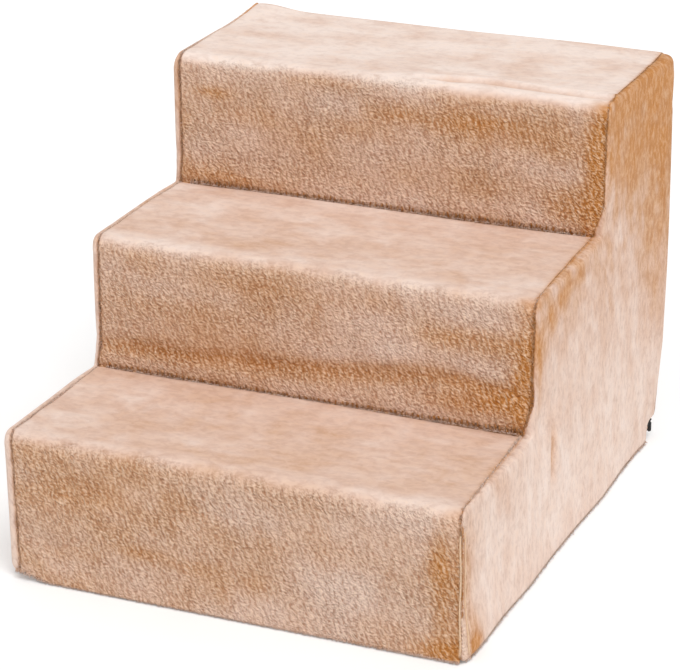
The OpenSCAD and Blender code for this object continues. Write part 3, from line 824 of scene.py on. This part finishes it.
# ---------------------------------------------------------------- outlines and their triangles
def arc(middle, radius, start, turn, count, facing=1):
    """Points round a corner with their outward normals; facing is -1 in a hollow corner."""
    turns = [math.radians(a) for a in np.linspace(start, start + turn, count)]
    ways = [(math.cos(a), math.sin(a)) for a in turns]
    return [(middle[0] + radius * a, middle[1] + radius * b, facing * a, facing * b) for a, b in ways]


def straight(start, end, normal, step=2.2 * MM):
    """Points between two places, without the two themselves."""
    count = max(2, round(math.dist(start, end) / step))
    shares = [k / count for k in range(1, count)]
    return [(*(a + (b - a) * share for a, b in zip(start, end)), *normal) for share in shares]


def stepped_outline(front_r, rear_r):
    """The outline of a side panel in (y, z), anticlockwise from the front hem, with outward normals."""
    hollow_r, crown_r = 1.2 * MM, REAR_R + 1 * MM
    front, rear, hem = FRONT[0] + front_r, REAR - rear_r, HEM_Z
    points = arc((front, hem + front_r), front_r, 180, 90, 12)
    points += straight((front, hem), (rear, hem), (0, -1))
    points += arc((rear, hem + rear_r), rear_r, 270, 90, 12)
    points += straight((REAR, hem + rear_r), (REAR, TOP[2] - crown_r), (1, 0))
    points += arc((REAR - crown_r, TOP[2] - crown_r), crown_r, 0, 90, 10)
    for i in (2, 1, 0):
        behind = REAR - crown_r if i == 2 else FRONT[i + 1] - hollow_r
        nosing_y, nosing_z = FRONT[i] + NOSING_R, TOP[i] - NOSING_R
        points += straight((behind, TOP[i]), (nosing_y, TOP[i]), (0, 1))
        points += arc((nosing_y, nosing_z), NOSING_R, 90, 90, 14)
        foot = HEM_Z + front_r if i == 0 else TOP[i - 1] + hollow_r
        points += straight((FRONT[i], nosing_z), (FRONT[i], foot), (-1, 0))
        if i > 0:
            points += arc((FRONT[i] - hollow_r, TOP[i - 1] + hollow_r), hollow_r, 0, -90, 7, -1)
    return np.array(points)


def seen_from(polygon, spots):
    """Which places lie inside a polygon, and how far each is from its edge."""
    inside = np.zeros(len(spots), bool)
    near = np.full(len(spots), 1e9)
    a, b = spots.T
    for (a0, b0), (a1, b1) in zip(polygon, np.roll(polygon, -1, 0)):
        da, db = a1 - a0, b1 - b0
        crosses = (b0 > b) != (b1 > b)
        if crosses.any():
            inside ^= crosses & (a < a0 + (b - b0) * da / db)
        share = np.clip(((a - a0) * da + (b - b0) * db) / max(da ** 2 + db ** 2, 1e-18), 0, 1)
        near = np.minimum(near, np.hypot(a - a0 - share * da, b - b0 - share * db))
    return inside, near


def inside_points(polygon, spacing, clear):
    """A staggered grid of places inside a polygon, clear of its edge."""
    low, high = polygon.min(0), polygon.max(0)
    found = []
    for k, b in enumerate(np.arange(low[1], high[1], spacing * 0.866)):
        a = np.arange(low[0] + (spacing / 2 if k % 2 else 0.0), high[0], spacing)
        found.append(np.stack([a, np.full(len(a), b)], 1))
    spots = np.concatenate(found)
    inside, near = seen_from(polygon, spots)
    return spots[inside & (near > clear)]


def triangulated(polygon, spots=()):
    """Triangles inside a polygon through all the places given. The polygon's own points come first."""
    places = np.concatenate([polygon, np.reshape(spots, (-1, 2))])
    found = delaunay_2d_cdt([Vector(p) for p in places / MM], [], [list(range(len(polygon)))], 1, 1e-6, True)
    original = np.array([ids[0] for ids in found[3]])
    faces = original[np.array(found[2])]
    inside, _ = seen_from(polygon, places[faces].mean(1))
    return faces[inside].tolist()


# ---------------------------------------------------------------- side panels with a stepped outline
# the rings of a panel's rim, from the seam up to its face: how deep each lies and how far inside the
# outline, plainly on the left panel, more softly on the right one, and beside the zip
RIM_DEPTH = (5.8, 4.9, 3.7, 2.4, 1.2, 0.35, 0.0)
RIM = (1.9, 0.8, 0.15, 0.35, 1.2, 2.7, 5.0)
SOFT_RIM = (0.8, 0.35, 0.15, 0.4, 1.2, 2.7, 5.0)
ZIP_RIM = (0.5, 0.2, 0.05, 0.2, 0.6, 1.4, 2.8)
# how far the right panel stands out along its rear edge, by height
REAR_SWELL_Z = (0, 14, 45, 90, 200, 292, 325, 341)
REAR_SWELL = (-2.0, -1.8, 0.0, 3.4, 5.2, 4.8, 4.4, 3.0)
# how far the same panel's hem stands out, from front to back
HEM_SWELL_Y = (-231, -209, -185, -150, -92, -33, 25, 83, 142, 177, 200, 232)
HEM_SWELL = (3.0, 4.6, 4.2, 2.4, 2.8, 0.6, 0.0, 0.6, -2.2, -2.6, -0.6, 0.0)
# the zip's slot in plan: y - x stays below one number on the side panel and above the other on the back
# panel; above the zip both may go further, and the panels meet
SLOT_SIDE, SLOT_BACK, SLOT_CLOSED = 36.36 * MM, 48.64 * MM, 24 * MM
# brown places on the side panel: y, z, half widths, strength
SIDE_MARKS = (
    (112, 327, 22, 9, 0.95), (150, 330, 26, 8, 0.9), (188, 322, 16, 14, 0.75), (215, 300, 12, 34, 0.5),
    (96, 300, 12, 20, 0.5), (-62, 203, 18, 17, 0.95), (-34, 212, 20, 12, 0.85), (4, 221, 26, 8, 0.6),
    (-74, 182, 7, 26, 0.7), (-74, 148, 5, 18, 0.35), (82, 285, 7, 34, 0.55), (110, 270, 26, 24, 0.32),
    (60, 236, 26, 9, 0.3), (160, 280, 40, 30, 0.3), (205, 210, 18, 60, 0.28), (-38, 96, 7, 26, 0.6),
    (-212, 7, 16, 9, 0.95), (-214, 20, 16, 14, 0.5), (-226, 62, 17, 44, 0.8), (-150, 112, 10, 8, 0.18),
    (60, 205, 30, 26, 0.12),
)


def beside_strip(y, z, every=1):
    """The strip's nearest row to each place of a side panel: how far off it is, and how far along it lies."""
    rows = slice(None, None, every)
    away = np.hypot(y[:, None] - ROWS["y"][None, rows], z[:, None] - ROWS["z"][None, rows])
    return away.min(1), ROWS["along"][rows][away.argmin(1)]


def flank_out(y, z, side):
    """How far a side panel's pile stands out past its plain face: soft swells, a fold, and puckers at the
    inner corners of the steps."""
    out = 0.7 + 0.9 * ripples(y, z, (90, 130), 51 if side > 0 else 57) + 0.4 * ripples(y, z, (25, 60), 52)
    for i in (1, 2):
        out = out - 3.2 * hump(np.hypot(y - FRONT[i], z - TOP[i - 1]), 0, 20)
    if side > 0:
        fold = rise(z, 52, 25) * fall(z, 128, 20)
        out = out + fold * (1.5 * hump(y, -52, 7) - 2.6 * hump(y, -38, 5) + 1.1 * hump(y, -25, 7))
    return MM * out


def no_zip(z):
    """0 beside the zip, 1 above it, where the corner seam is closed."""
    return rise(z - ZIP_HEAD_Z, 1, 9)


def rear_swell(y, z):
    """The right panel's swell at its rear edge and its hem, and the notch that clears the zip's pull."""
    rear = rise(y, 165, 55) * curve(z, REAR_SWELL_Z, REAR_SWELL)
    hem = fall(z, 5, 50) * curve(y, HEM_SWELL_Y, HEM_SWELL)
    notch = 5.9 * rise(y, 206, 16) * fall(z, 13, 10)
    return MM * (rear + hem - notch)


def tucked_corner(outline, inner_edge):
    """The inner edge of a panel, drawn together at the rear top corner, where it would cross itself."""
    outer_r, inner_r = REAR_R + 1 * MM, 1.5 * MM
    corner = np.array([REAR, TOP[2]])
    middle = corner - (PLUSH + 2 * MM) - inner_r
    start = corner - 35 * MM
    share = (middle - start) / (corner - outer_r - start)
    edge = inner_edge.copy()
    on_arc = (outline[:, 2] > 0.01) & (outline[:, 3] > 0.01)
    edge[on_arc] = middle + inner_r * outline[on_arc, 2:]
    for axis, facing in ((0, 3), (1, 2)):
        near = ~on_arc & (outline[:, facing] > 0.99) & (outline[:, axis] > start[axis])
        edge[near, axis] = start[axis] + (outline[near, axis] - start[axis]) * share[axis]
    return edge


def side_pile(side, y, z, near_edge, in_seam):
    """How the pile of a side panel lies, and how brown it is, at each of its places."""
    streaks = 0.5 * ripples(y + 0.25 * z, z, (6, 24), 61) + 0.5 * ripples(y + 0.3 * z, z, (15, 55), 62)
    fine = ripples(y + 0.3 * z, z, (4.5, 12), 63) * (z > 20 * MM)
    blotches = ripples(y, z, (13, 9), 64)
    upper = rise(z, 130, 170)
    rearward = rise(y, 140, 70) * rise(z, 50, 120)
    beside_riser = hump(y, 84, 24) * rise(z, 215, 40) * fall(z, 312, 16)
    tone = 0.12 + 0.12 * rise(z, 60, 70) + 0.36 * upper + 0.24 * rearward + 0.12 * rise(z, 250, 80)
    tone += (0.10 + 0.19 * upper + 0.08 * rearward) * streaks + (0.06 + 0.06 * upper) * fine
    tone += (0.04 + 0.11 * upper) * blotches - 0.24 * beside_riser
    parted_and_shaded = 0.40 * upper * (1 - 0.6 * beside_riser) * smooth(0.45 + 0.6 * streaks + 0.5 * blotches)
    parted_and_shaded += 0.32 * rise(z, 240, 70) + 0.12 * rearward
    turned = 0
    if side > 0:
        parted_and_shaded += brushed(SIDE_MARKS, y, z) * (0.85 + 0.5 * streaks)
        turned = hump(y - FRONT[0], 0, 14) * (z < 118 * MM)
    else:
        pale = 1 - 0.85 * rise(y, 80, 70) * rise(z, 290, 30)
        tone, parted_and_shaded = 0.10 + 0.6 * pale * (tone - 0.12), 0.25 * pale * parted_and_shaded
    nap = 0.22 + 0.12 * near_edge + 0.5 * turned
    return nap, tone + 0.08 * near_edge, np.clip(parted_and_shaded, 0, 1.05) + 0.8 * in_seam


def build_side(side, strip_lift):
    """A side panel, right for 1 and left for -1, whose rim meets the strip where the strip's edge is lifted."""
    is_right = side > 0
    outline = stepped_outline((6 if is_right else 12) * MM, 7 * MM)
    count, top_ring = len(outline), len(RIM) - 1
    spacing = 2.4 * MM
    away, beside = beside_strip(outline[:, 0], outline[:, 1])
    joined = fall(away, 3, 15)
    rim = FLANK - SEAM_GAP - (joined * seam_x(beside, side) + (1 - joined) * SEAM_X)
    meet = (0.15 if is_right else 0.7) - np.interp(beside, ROWS["along"], strip_lift) / MM
    beside_zip = smooth((outline[:, 2] - 0.7) / 0.25) * (outline[:, 0] > 0.2) * (1 - no_zip(outline[:, 1]))
    layers = []
    for k in range(top_ring + 1):
        plain = SOFT_RIM[k] if is_right else RIM[k]
        inset = plain + (meet - plain) * joined * (1 - k / top_ring) ** 2
        if is_right:
            inset = inset + (ZIP_RIM[k] - inset) * beside_zip
        layers.append(outline[:, :2] - outline[:, 2:] * inset[:, None] * MM)
    core = layers[-1]
    spots = inside_points(core, spacing, 0.55 * spacing)
    hem_inset = np.where(outline[:, 3] < -0.01, 3 * MM, PLUSH + 2 * MM)
    inner_edge = outline[:, :2] - outline[:, 2:] * np.stack([np.full(count, PLUSH + 2 * MM), hem_inset], 1)
    inner_edge = tucked_corner(outline, inner_edge)
    layers += [spots, inner_edge]
    where = np.concatenate(layers)
    rank = np.concatenate([np.full(len(places), k) for k, places in enumerate(layers)])
    outer = rank <= top_ring + 1
    depth = [share / RIM_DEPTH[0] * rim for share in RIM_DEPTH]
    depth = np.concatenate(depth + [np.zeros(len(spots)), np.full(count, FLANK - INNER_X)])
    up_rim = np.minimum(rank / top_ring, 1.0)
    y, z = where.T.copy()
    x = FLANK - depth + flank_out(y, z, side) * up_rim * outer
    if is_right:
        closed = no_zip(z)
        at_rim = np.concatenate([joined] * (top_ring + 1) + [np.zeros(len(spots) + count)])
        x = x + rear_swell(y, z) * outer * (1 - at_rim * (1 - up_rim))
        y = y - 4.5 * MM * rise(y, 190, 30) * fall(z, 288, 40)
        y = np.minimum(y, x + SLOT_SIDE + SLOT_CLOSED * closed)
        along_zip = (where[:, 0] > 200 * MM) & (z < ZIP_HEAD_Z + 1 * MM) & (z > 8 * MM)
        y = np.where(along_zip & ((rank == 0) | ~outer), x + SLOT_SIDE, y)
    else:
        proud = np.interp(beside, [0.0] + MARKS, np.array(LEFT_SWELL) * MM) * joined
        edge = outline[::3, :2]
        reach = np.hypot(*(spots[:, None] - edge[None]).transpose(2, 0, 1))
        swell = [proud * k / top_ring for k in range(top_ring + 1)]
        swell += [proud[::3][reach.argmin(1)] * fall(reach.min(1), 2, 45), np.zeros(count)]
        away, along = beside_strip(y, z, 3)
        z = z + ear(-x, np.where(away < 12 * MM, along, 0.0)) * outer
        x = x + np.concatenate(swell)
    verts = np.stack([side * x, y, z], 1)

    faces = tube_faces(top_ring + 1, count)
    faces += [[top_ring * count + v for v in face] for face in triangulated(core, spots)]
    outer_count = len(faces)
    last = (top_ring + 1) * count + len(spots)
    back_faces = [[last + v for v in face][::-1] for face in triangulated(inner_edge)]
    faces += back_faces
    faces += [[last + j, last + (j + 1) % count, (j + 1) % count, j] for j in range(count)]
    if not is_right:
        faces = [face[::-1] for face in faces]

    near_edge = np.where(rank < 3, 1.0, np.where(rank < 5, 0.4, 0.0)) * outer
    # browner along the seam: partly the parted pile along the seam, partly painted shade of its groove, going deep
    # brown
    in_seam = np.zeros(len(where))
    in_seam[rank == 0], in_seam[rank == 1] = joined, 0.6 * joined
    nap, tone, parted_and_shaded = side_pile(side, *where.T, near_edge, in_seam)
    low, high = where.min(0), where.max(0)
    uv = (where - low) / (high - low)
    uv = np.where(outer[:, None], uv * (0.64, 0.98) + 0.01, uv * (0.30, 0.98) + (0.68, 0.01))
    name = "cover_side_right" if is_right else "cover_side_left"
    pile = {"nap": nap, "tone": tone * outer, "parted_and_shaded": parted_and_shaded * outer}
    return plush_piece(name + "_plush", name, verts, faces, outer_count, len(back_faces), pile, uv)


# ---------------------------------------------------------------- back panel
def build_back():
    z = stations(BACK_SEAM_Z - SEAM_GAP - HEM_Z, 2.6, 1.0, 5) + HEM_Z
    x = (stations(2 * HALF_WIDTH, 2.6, 0.9, 14) - HALF_WIDTH)[::-1]
    X, Z = np.broadcast_to(x, (len(z), len(x))), np.broadcast_to(z[:, None], (len(z), len(x)))
    closed = no_zip(Z)

    def ripple(across, up, seed):
        return ripples(X, Z, (across, up), seed)

    lift = 0.6 + 0.9 * ripple(100, 100, 71) + 0.4 * ripple(40, 30, 72)
    lift += 3.6 * rise(X, 130, 50) * (1 - closed * 0.6) * rise(Z, -5, 40)
    lift -= roll(HALF_WIDTH - X, 5, 3.4) + roll(HALF_WIDTH + X, 3, 2.2)
    lift -= roll(Z - HEM_Z, 3, 2.4) + roll(BACK_SEAM_Z - Z, 3, 2.2)
    Y = REAR + lift * MM
    # beside the zip the edge reaches a little further, but at its foot it clears the pull
    reach = (3.0 - 8.0 * fall(Z, 13, 9)) * MM * (1 - closed) * smooth((X - 150 * MM) / (HALF_WIDTH - 150 * MM))
    outer = np.stack([np.minimum(X + reach, Y - SLOT_BACK + SLOT_CLOSED * closed), Y, Z], -1)
    share = (X + HALF_WIDTH) / (2 * HALF_WIDTH)
    inner_y = BACK_Y - PLUSH
    slot_x = inner_y - SLOT_BACK
    inner_right = slot_x + (LINING_X - slot_x) * closed
    inner = np.stack([-LINING_X + share * (inner_right + LINING_X), 0 * X + inner_y, Z], -1)
    tone = 0.34 + 0.06 * ripple(50, 60, 73) + 0.07 * ripple(8, 30, 75) - 0.18 * fall(Z, 40, 140)
    parted_and_shaded = 0.10 * smooth(ripple(20, 40, 74) * 1.5) + 0.4 * hump(BACK_SEAM_Z - Z, 0, 8)
    pile = {"nap": 0.3 + 0 * X, "tone": tone, "parted_and_shaded": parted_and_shaded}
    return grid_piece("cover_back_plush", "cover_back", outer, inner, pile, share, (Z - HEM_Z) / BACK_SEAM_Z)


# ---------------------------------------------------------------- loose pile at hems, seams and creases
def tuft_piece(name, roots, ways, bends, lengths, widths, tones, parted_and_shaded):
    """Bent, pointed tufts: each is closed, with a three-sided root and waist and a tip."""
    count = len(roots)
    ways = unit(ways)
    aside = unit(np.cross(ways, np.array([0.31, 0.77, 0.55])))
    other = np.cross(ways, aside)
    corners = []
    for share, swell in ((0.0, 1.0), (0.5, 0.72)):
        middle = roots + (ways * share + bends * share ** 2) * lengths[:, None]
        for a in np.arange(3) * (2 * math.pi / 3):
            corners.append(middle + (aside * math.cos(a) + other * math.sin(a)) * (widths * swell)[:, None])
    corners.append(roots + (ways + bends) * lengths[:, None])
    verts = np.stack(corners, 1).reshape(-1, 3)
    pattern = [(2, 1, 0), (0, 1, 4, 3), (1, 2, 5, 4), (2, 0, 3, 5), (3, 4, 6), (4, 5, 6), (5, 3, 6)]
    faces = [[7 * n + k for k in face] for n in range(count) for face in pattern]
    across = math.ceil(math.sqrt(count))
    cell = np.stack([np.arange(count) % across, np.arange(count) // across], 1)
    places = np.array([(0.1, 0.1), (0.9, 0.1), (0.5, 0.32), (0.22, 0.5), (0.78, 0.5), (0.5, 0.62), (0.5, 0.93)])
    uv = ((cell[:, None] + places[None]) / across).reshape(-1, 2)
    tone = np.stack([tones + 0.22] * 3 + [tones] * 3 + [tones - 0.18], 1)
    pile = {"nap": np.full(7 * count, 0.45), "tone": np.clip(tone, 0, 1).ravel(), "parted_and_shaded": np.repeat(parted_and_shaded, 7)}
    return make_piece(name, verts, faces, [plush], pile, uv)


def hem_fringe(name, start, end, out, per_metre, moved_to_face, tone, seed):
    """A frizzy row of pile along one hem, with its roots moved onto the panel's bulged face."""
    rng = np.random.default_rng(seed)
    start, end, out = np.array(start), np.array(end), np.array(out)
    count = int(math.dist(start, end) * per_metre)
    share = (np.arange(count) + rng.uniform(0, 1, count)) / count
    roots = start + share[:, None] * (end - start)
    roots[:, 2] = rng.uniform(1.2, 3.4, count) * MM
    roots = moved_to_face(roots) - out * 0.7 * MM
    sideways = unit((end - start)[None])[0]
    ways = rng.uniform(0.3, 1.3, count)[:, None] * out + rng.normal(0, 0.35, count)[:, None] * sideways
    ways[:, 2] -= 1.0
    # each tuft ends a little above the floor
    room = (roots[:, 2] - 0.35 * MM) / np.abs(unit(ways)[:, 2]) / 1.08
    lengths = np.minimum(rng.uniform(1.6, 3.8, count) * MM, room)
    bends = rng.normal(0, 0.16, (count, 3)) * np.array([1, 1, 0.1])
    widths = rng.uniform(0.35, 0.6, count) * MM
    tones = tone + rng.uniform(-0.12, 0.12, count)
    return tuft_piece(name, roots, ways, bends, lengths, widths, tones, rng.uniform(0, 0.4, count) ** 2)


def seam_tufts(name, side, seed):
    """Pile that leans over the seam between strip and side panel, from both sides of it."""
    rng = np.random.default_rng(seed)
    count = 3400
    along = np.sort(rng.uniform(4 * MM, STRIP_LENGTH - 3 * MM, count))
    keys = ("y", "z", "ny", "nz", "riser", "step")
    y, z, ny, nz, riser, step = (np.interp(along, ROWS["along"], ROWS[key]) for key in keys)
    offset = rng.choice([-1.0, 1.0], count)
    x = seam_x(along, side) + offset * rng.uniform(0.2, 1.6, count) * MM
    normal = unit(np.stack([0 * ny, ny, nz], 1))
    tangent = np.stack([0 * ny, -nz, ny], 1)
    outwards = np.array([side, 0.0, 0.0])
    roots = np.stack([side * x, y, z], 1) - normal * (2.3 * MM)
    ways = normal + outwards * (-0.35 * offset * rng.uniform(0.2, 1.0, count))[:, None]
    ways += tangent * rng.normal(0.25, 0.4, count)[:, None]
    lengths = rng.uniform(2.1, 3.3, count) * MM
    bends = tangent * rng.uniform(0.1, 0.45, count)[:, None]
    bends += outwards * rng.normal(0, 0.15, count)[:, None]
    widths = rng.uniform(0.4, 0.75, count) * MM
    tones = 0.16 + 0.3 * riser + rng.uniform(-0.12, 0.2, count)
    brown = riser * (0.55 if side > 0 else 0.2) * (1 + 0.6 * (step > 0))
    brown += 0.9 * (side > 0) * (step == 2) * (riser == 0) + rng.uniform(-0.2, 0.4, count)
    return tuft_piece(name, roots, ways, bends, lengths, widths, tones, np.clip(brown, 0, 1.1))


# the tufts of each bunch: how many, how far they spread, the lowest and highest root above the tread, how far ahead of
# the riser they stand, and how dark they are, which paints the crease's shade, paler below 0; a spread of None fills
# the pitch
BUNCH_LAYERS = ((6, 0.5, 2.2, 5.6, -0.5, 1.0), (4, None, 0.6, 2.4, -0.5, 0.0), (10, None, -0.5, 0.7, 0.7, -0.4))


def crease_tufts(name, seed):
    """Tufts where a riser's pile stands on the tread in front of it, in bunches darkened as painted shade of the
    crease, with paler ones between.
    """
    rng = np.random.default_rng(seed)
    roots, dark = [], []
    for i, pitch in ((1, 4.6), (2, 5.0)):
        bunch = np.arange(-176.0, 174.0, pitch)
        bunch = bunch + rng.uniform(-0.3, 0.3, len(bunch)) * pitch
        for count, spread, low, high, ahead, crease_shade in BUNCH_LAYERS:
            x = np.repeat(bunch, count) + rng.uniform(-0.5, 0.5, len(bunch) * count) * (spread or pitch)
            y = np.full(len(x), FRONT[i] - ahead * MM)
            roots.append(np.stack([x * MM, y, TOP[i - 1] + rng.uniform(low, high, len(x)) * MM], 1))
            dark.append(np.full(len(x), crease_shade))
    roots, dark = np.concatenate(roots), np.concatenate(dark)
    count = len(roots)
    aside, ahead = 0.55 * dark + rng.normal(0, 0.15, count), rng.uniform(-0.7, -0.4, count)
    ways = np.stack([aside, ahead, -0.7 * dark + rng.uniform(-0.5, 0.1, count)], 1)
    bends = np.stack([rng.normal(0, 0.1, count), 0 * dark, rng.uniform(-0.2, 0.1, count)], 1)
    lengths = (rng.uniform(2.0, 3.0, count) + 1.8 * dark) * MM
    widths = (rng.uniform(0.4, 0.7, count) + 0.35 * dark) * MM
    # painted shade: the dark bunches go deep brown
    parted_and_shaded = np.maximum(0.15 + 1.3 * dark, 0.0)
    return tuft_piece(name, roots, ways, bends, lengths, widths, 0.45 + 0.55 * dark, parted_and_shaded)


# ---------------------------------------------------------------- seam thread, zip teeth
def build_edge_thread():
    """The two pale lines of stitching that show down the front right edge of the lowest riser."""
    height = np.arange(7.0, 106.0, 1.6)
    y, z = np.full(len(height), -224.6 * MM), height * MM
    sink = 0.3 * np.cos(height * 1.9) + 0.3 * ripples(z, z, (9, 9), 35)
    at_seam = np.stack([187.1 + 0.3 * np.sin(height / 9), -230.7 + sink, height], 1) * MM
    panel_x = FLANK + flank_out(y, z, 1) + rear_swell(y, z)
    on_panel = np.stack([panel_x + (0.35 - 0.6 * sink) * MM, y, z], 1)
    verts, faces = [], []
    for line in (at_seam, on_panel):
        add_mesh(verts, faces, cord_mesh(line, 0.72, 7))
    return make_piece("cover_edge_thread", verts, faces, [thread])


# the middle of the zip in plan, and how high its coils begin and end, in mm
ZIP_AT = (180.5, 223.0)
COIL_FOOT, COIL_HEAD, COIL_PITCH = 10.5, 288.5, 1.5
# one coil tooth as it is cut by a level plane: out of the corner and across the zip
TOOTH = np.array([
    (-2.05, 2.15), (-2.05, 0.75), (-1.75, 0.34), (-1.3, 0.22),
    (-0.85, 0.34), (-0.56, 0.85), (-0.56, 1.85), (-0.8, 2.2),
])


def at_zip(out, aside, height):
    """A place in the zip's own directions, in mm: out of the corner, across the zip and up."""
    r = math.sqrt(0.5)
    return (ZIP_AT[0] + (out - aside) * r) * MM, (ZIP_AT[1] + (out + aside) * r) * MM, height * MM


def build_coil(panel, half):
    """One row of coil teeth on its cord. half is -1 on the side panel's tape and 1 on the back panel's."""
    verts, faces = [], []
    middle, size = TOOTH.mean(0), len(TOOTH)
    start = COIL_FOOT + (0.5 if half > 0 else 1.25)
    for k in range(int((COIL_HEAD - start - 0.5) / COIL_PITCH)):
        faces += capped_tube(4, size, len(verts))
        for height, swell in ((0.0, 0.6), (0.22, 1.0), (0.78, 1.0), (1.0, 0.6)):
            for out, aside in middle + (TOOTH - middle) * swell:
                verts.append(at_zip(out, half * aside, start + k * COIL_PITCH + height))
    strand = [at_zip(-1.66, half * 1.9, height) for height in np.arange(COIL_FOOT, COIL_HEAD + 0.1, 2)]
    add_mesh(verts, faces, cord_mesh(strand, 0.38, 6))
    if half > 0:
        faces = [face[::-1] for face in faces]
    piece = make_piece("zip_teeth_" + panel, verts, faces, [nylon])
    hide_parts("zip_coil_" + panel)


# ---------------------------------------------------------------- where the fringes' roots stand
def on_front(roots):
    roots[:, 1] = FRONT[0] - 1.0 * MM + MM * roll(roots[:, 2] - HEM_Z, 1.6, 1.0)
    roots[:, 2] += hem_rise(roots[:, 0])
    return roots


def on_flank(side):
    def moved(roots):
        y, z = roots[:, 1], roots[:, 2]
        x = FLANK + (rear_swell(y, z) if side > 0 else 0.0) - 1.4 * MM * fall(z - HEM_Z, 0, 6)
        roots[:, 0] = side * (x + 0.6 * MM)
        return roots
    return moved


def on_back(roots):
    roots[:, 1] = REAR + 0.8 * MM - MM * roll(roots[:, 2] - HEM_Z, 3, 2.4)
    return roots


# ---------------------------------------------------------------- the pieces
strip, strip_lift = build_strip()
side_right = build_side(1, strip_lift[1])
side_left = build_side(-1, strip_lift[-1])
back = build_back()
fringe_front = hem_fringe("hem_fringe_front", (-0.184, 0, 0), (0.187, 0, 0), (0, -1, 0), 4200, on_front, 0.3, 101)
fringe_right = hem_fringe("hem_fringe_right", (0, -0.226, 0), (0, 0.206, 0), (1, 0, 0), 3000, on_flank(1), 0.0, 102)
fringe_left = hem_fringe("hem_fringe_left", (0, -0.222, 0), (0, 0.224, 0), (-1, 0, 0), 3600, on_flank(-1), 0.1, 103)
fringe_back = hem_fringe("hem_fringe_back", (-0.182, 0, 0), (0.165, 0, 0), (0, 1, 0), 3600, on_back, 0.35, 104)
tufts_right = seam_tufts("seam_tufts_right", 1, 111)
tufts_left = seam_tufts("seam_tufts_left", -1, 112)
tufts_crease = crease_tufts("crease_tufts", 113)
edge_thread = build_edge_thread()
build_coil("side", -1)
build_coil("back", 1)

# the shown CAD nodes take their materials by the starts of their names
FINISHES = (
    (("side_frame", "tread_board", "riser_board", "back_board", "tube_pins"), plastic),
    ("cross_tube", tube_paint),
    ("foot_", rubber),
    ("zip_tape", tape),
    (("zip_top_stop", "zip_bottom_stops"), nylon),
    (("zip_slider", "zip_pull"), black_metal),
)
for node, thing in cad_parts.items():
    for starts, material in FINISHES:
        if node.startswith(starts):
            thing.data.materials.clear()
            thing.data.materials.append(material)


# ---------------------------------------------------------------- camera, light and floor
def set_camera():
    """The photo's own camera, as fitted to its corner points."""
    data = bpy.data.cameras.new("camera")
    data.sensor_width, data.lens = 36.0, 158.89
    data.clip_start, data.clip_end = 0.05, 50.0
    camera = add_object("camera", data)
    azimuth, elevation, tilt = (math.radians(turn) for turn in (23.8963, 21.5535, -0.4357))
    level = math.cos(elevation)
    forward = Vector((-math.sin(azimuth) * level, math.cos(azimuth) * level, -math.sin(elevation)))
    right = forward.cross(Vector((0, 0, 1))).normalized()
    right = right * math.cos(tilt) + right.cross(forward) * math.sin(tilt)
    turns = Matrix((right, right.cross(forward), -forward)).transposed().to_4x4()
    camera.matrix_world = Matrix.Translation((0.9011, -2.0542, 1.0337)) @ turns
    bpy.context.scene.camera = camera


def set_light():
    """A bright studio: soft key and fill lamps in an even surround, which looks white to the camera."""
    scene = bpy.context.scene
    scene.view_settings.view_transform = "Standard"
    world = bpy.data.worlds.new("studio")
    scene.world = world
    world.use_nodes = True
    w = Wiring(world.node_tree)
    background = world.node_tree.nodes["Background"]
    background.inputs["Color"].default_value = (1, 1, 1, 1)
    w.feed(background.inputs["Strength"], w.span(w.seen_directly(), 0.0, 1.0, 0.57, 1.0))
    for name, towards, strength, spread in (
        ("key", (-0.42, 0.40, -1.0), 1.33, 30.0),
        ("side fill", (-1.0, 0.25, -0.35), 0.40, 60.0),
        ("front fill", (0.15, 1.0, -0.35), 0.46, 60.0),
    ):
        lamp = bpy.data.lights.new(name, "SUN")
        lamp.energy = strength
        lamp.angle = math.radians(spread)
        thing = add_object(name, lamp)
        thing.rotation_mode = "QUATERNION"
        thing.rotation_quaternion = Vector(towards).to_track_quat("-Z", "Y")


def set_floor():
    mesh = bpy.data.meshes.new("floor")
    size = 9.0
    mesh.from_pydata([(-size, -size, 0), (size, -size, 0), (size, size, 0), (-size, size, 0)], [], [(0, 1, 2, 3)])
    material, w, _, _ = fresh_material("floor")
    glow = w.math("MULTIPLY", w.seen_directly(), 0.16)
    w.dress(Base_Color=(0.9, 0.9, 0.9, 1), Roughness=0.9, Specular_IOR_Level=0.0)
    w.dress(Emission_Color=(1, 1, 1, 1), Emission_Strength=glow)
    mesh.materials.append(material)
    floor = add_object("floor", mesh)


set_camera()
set_light()
set_floor()
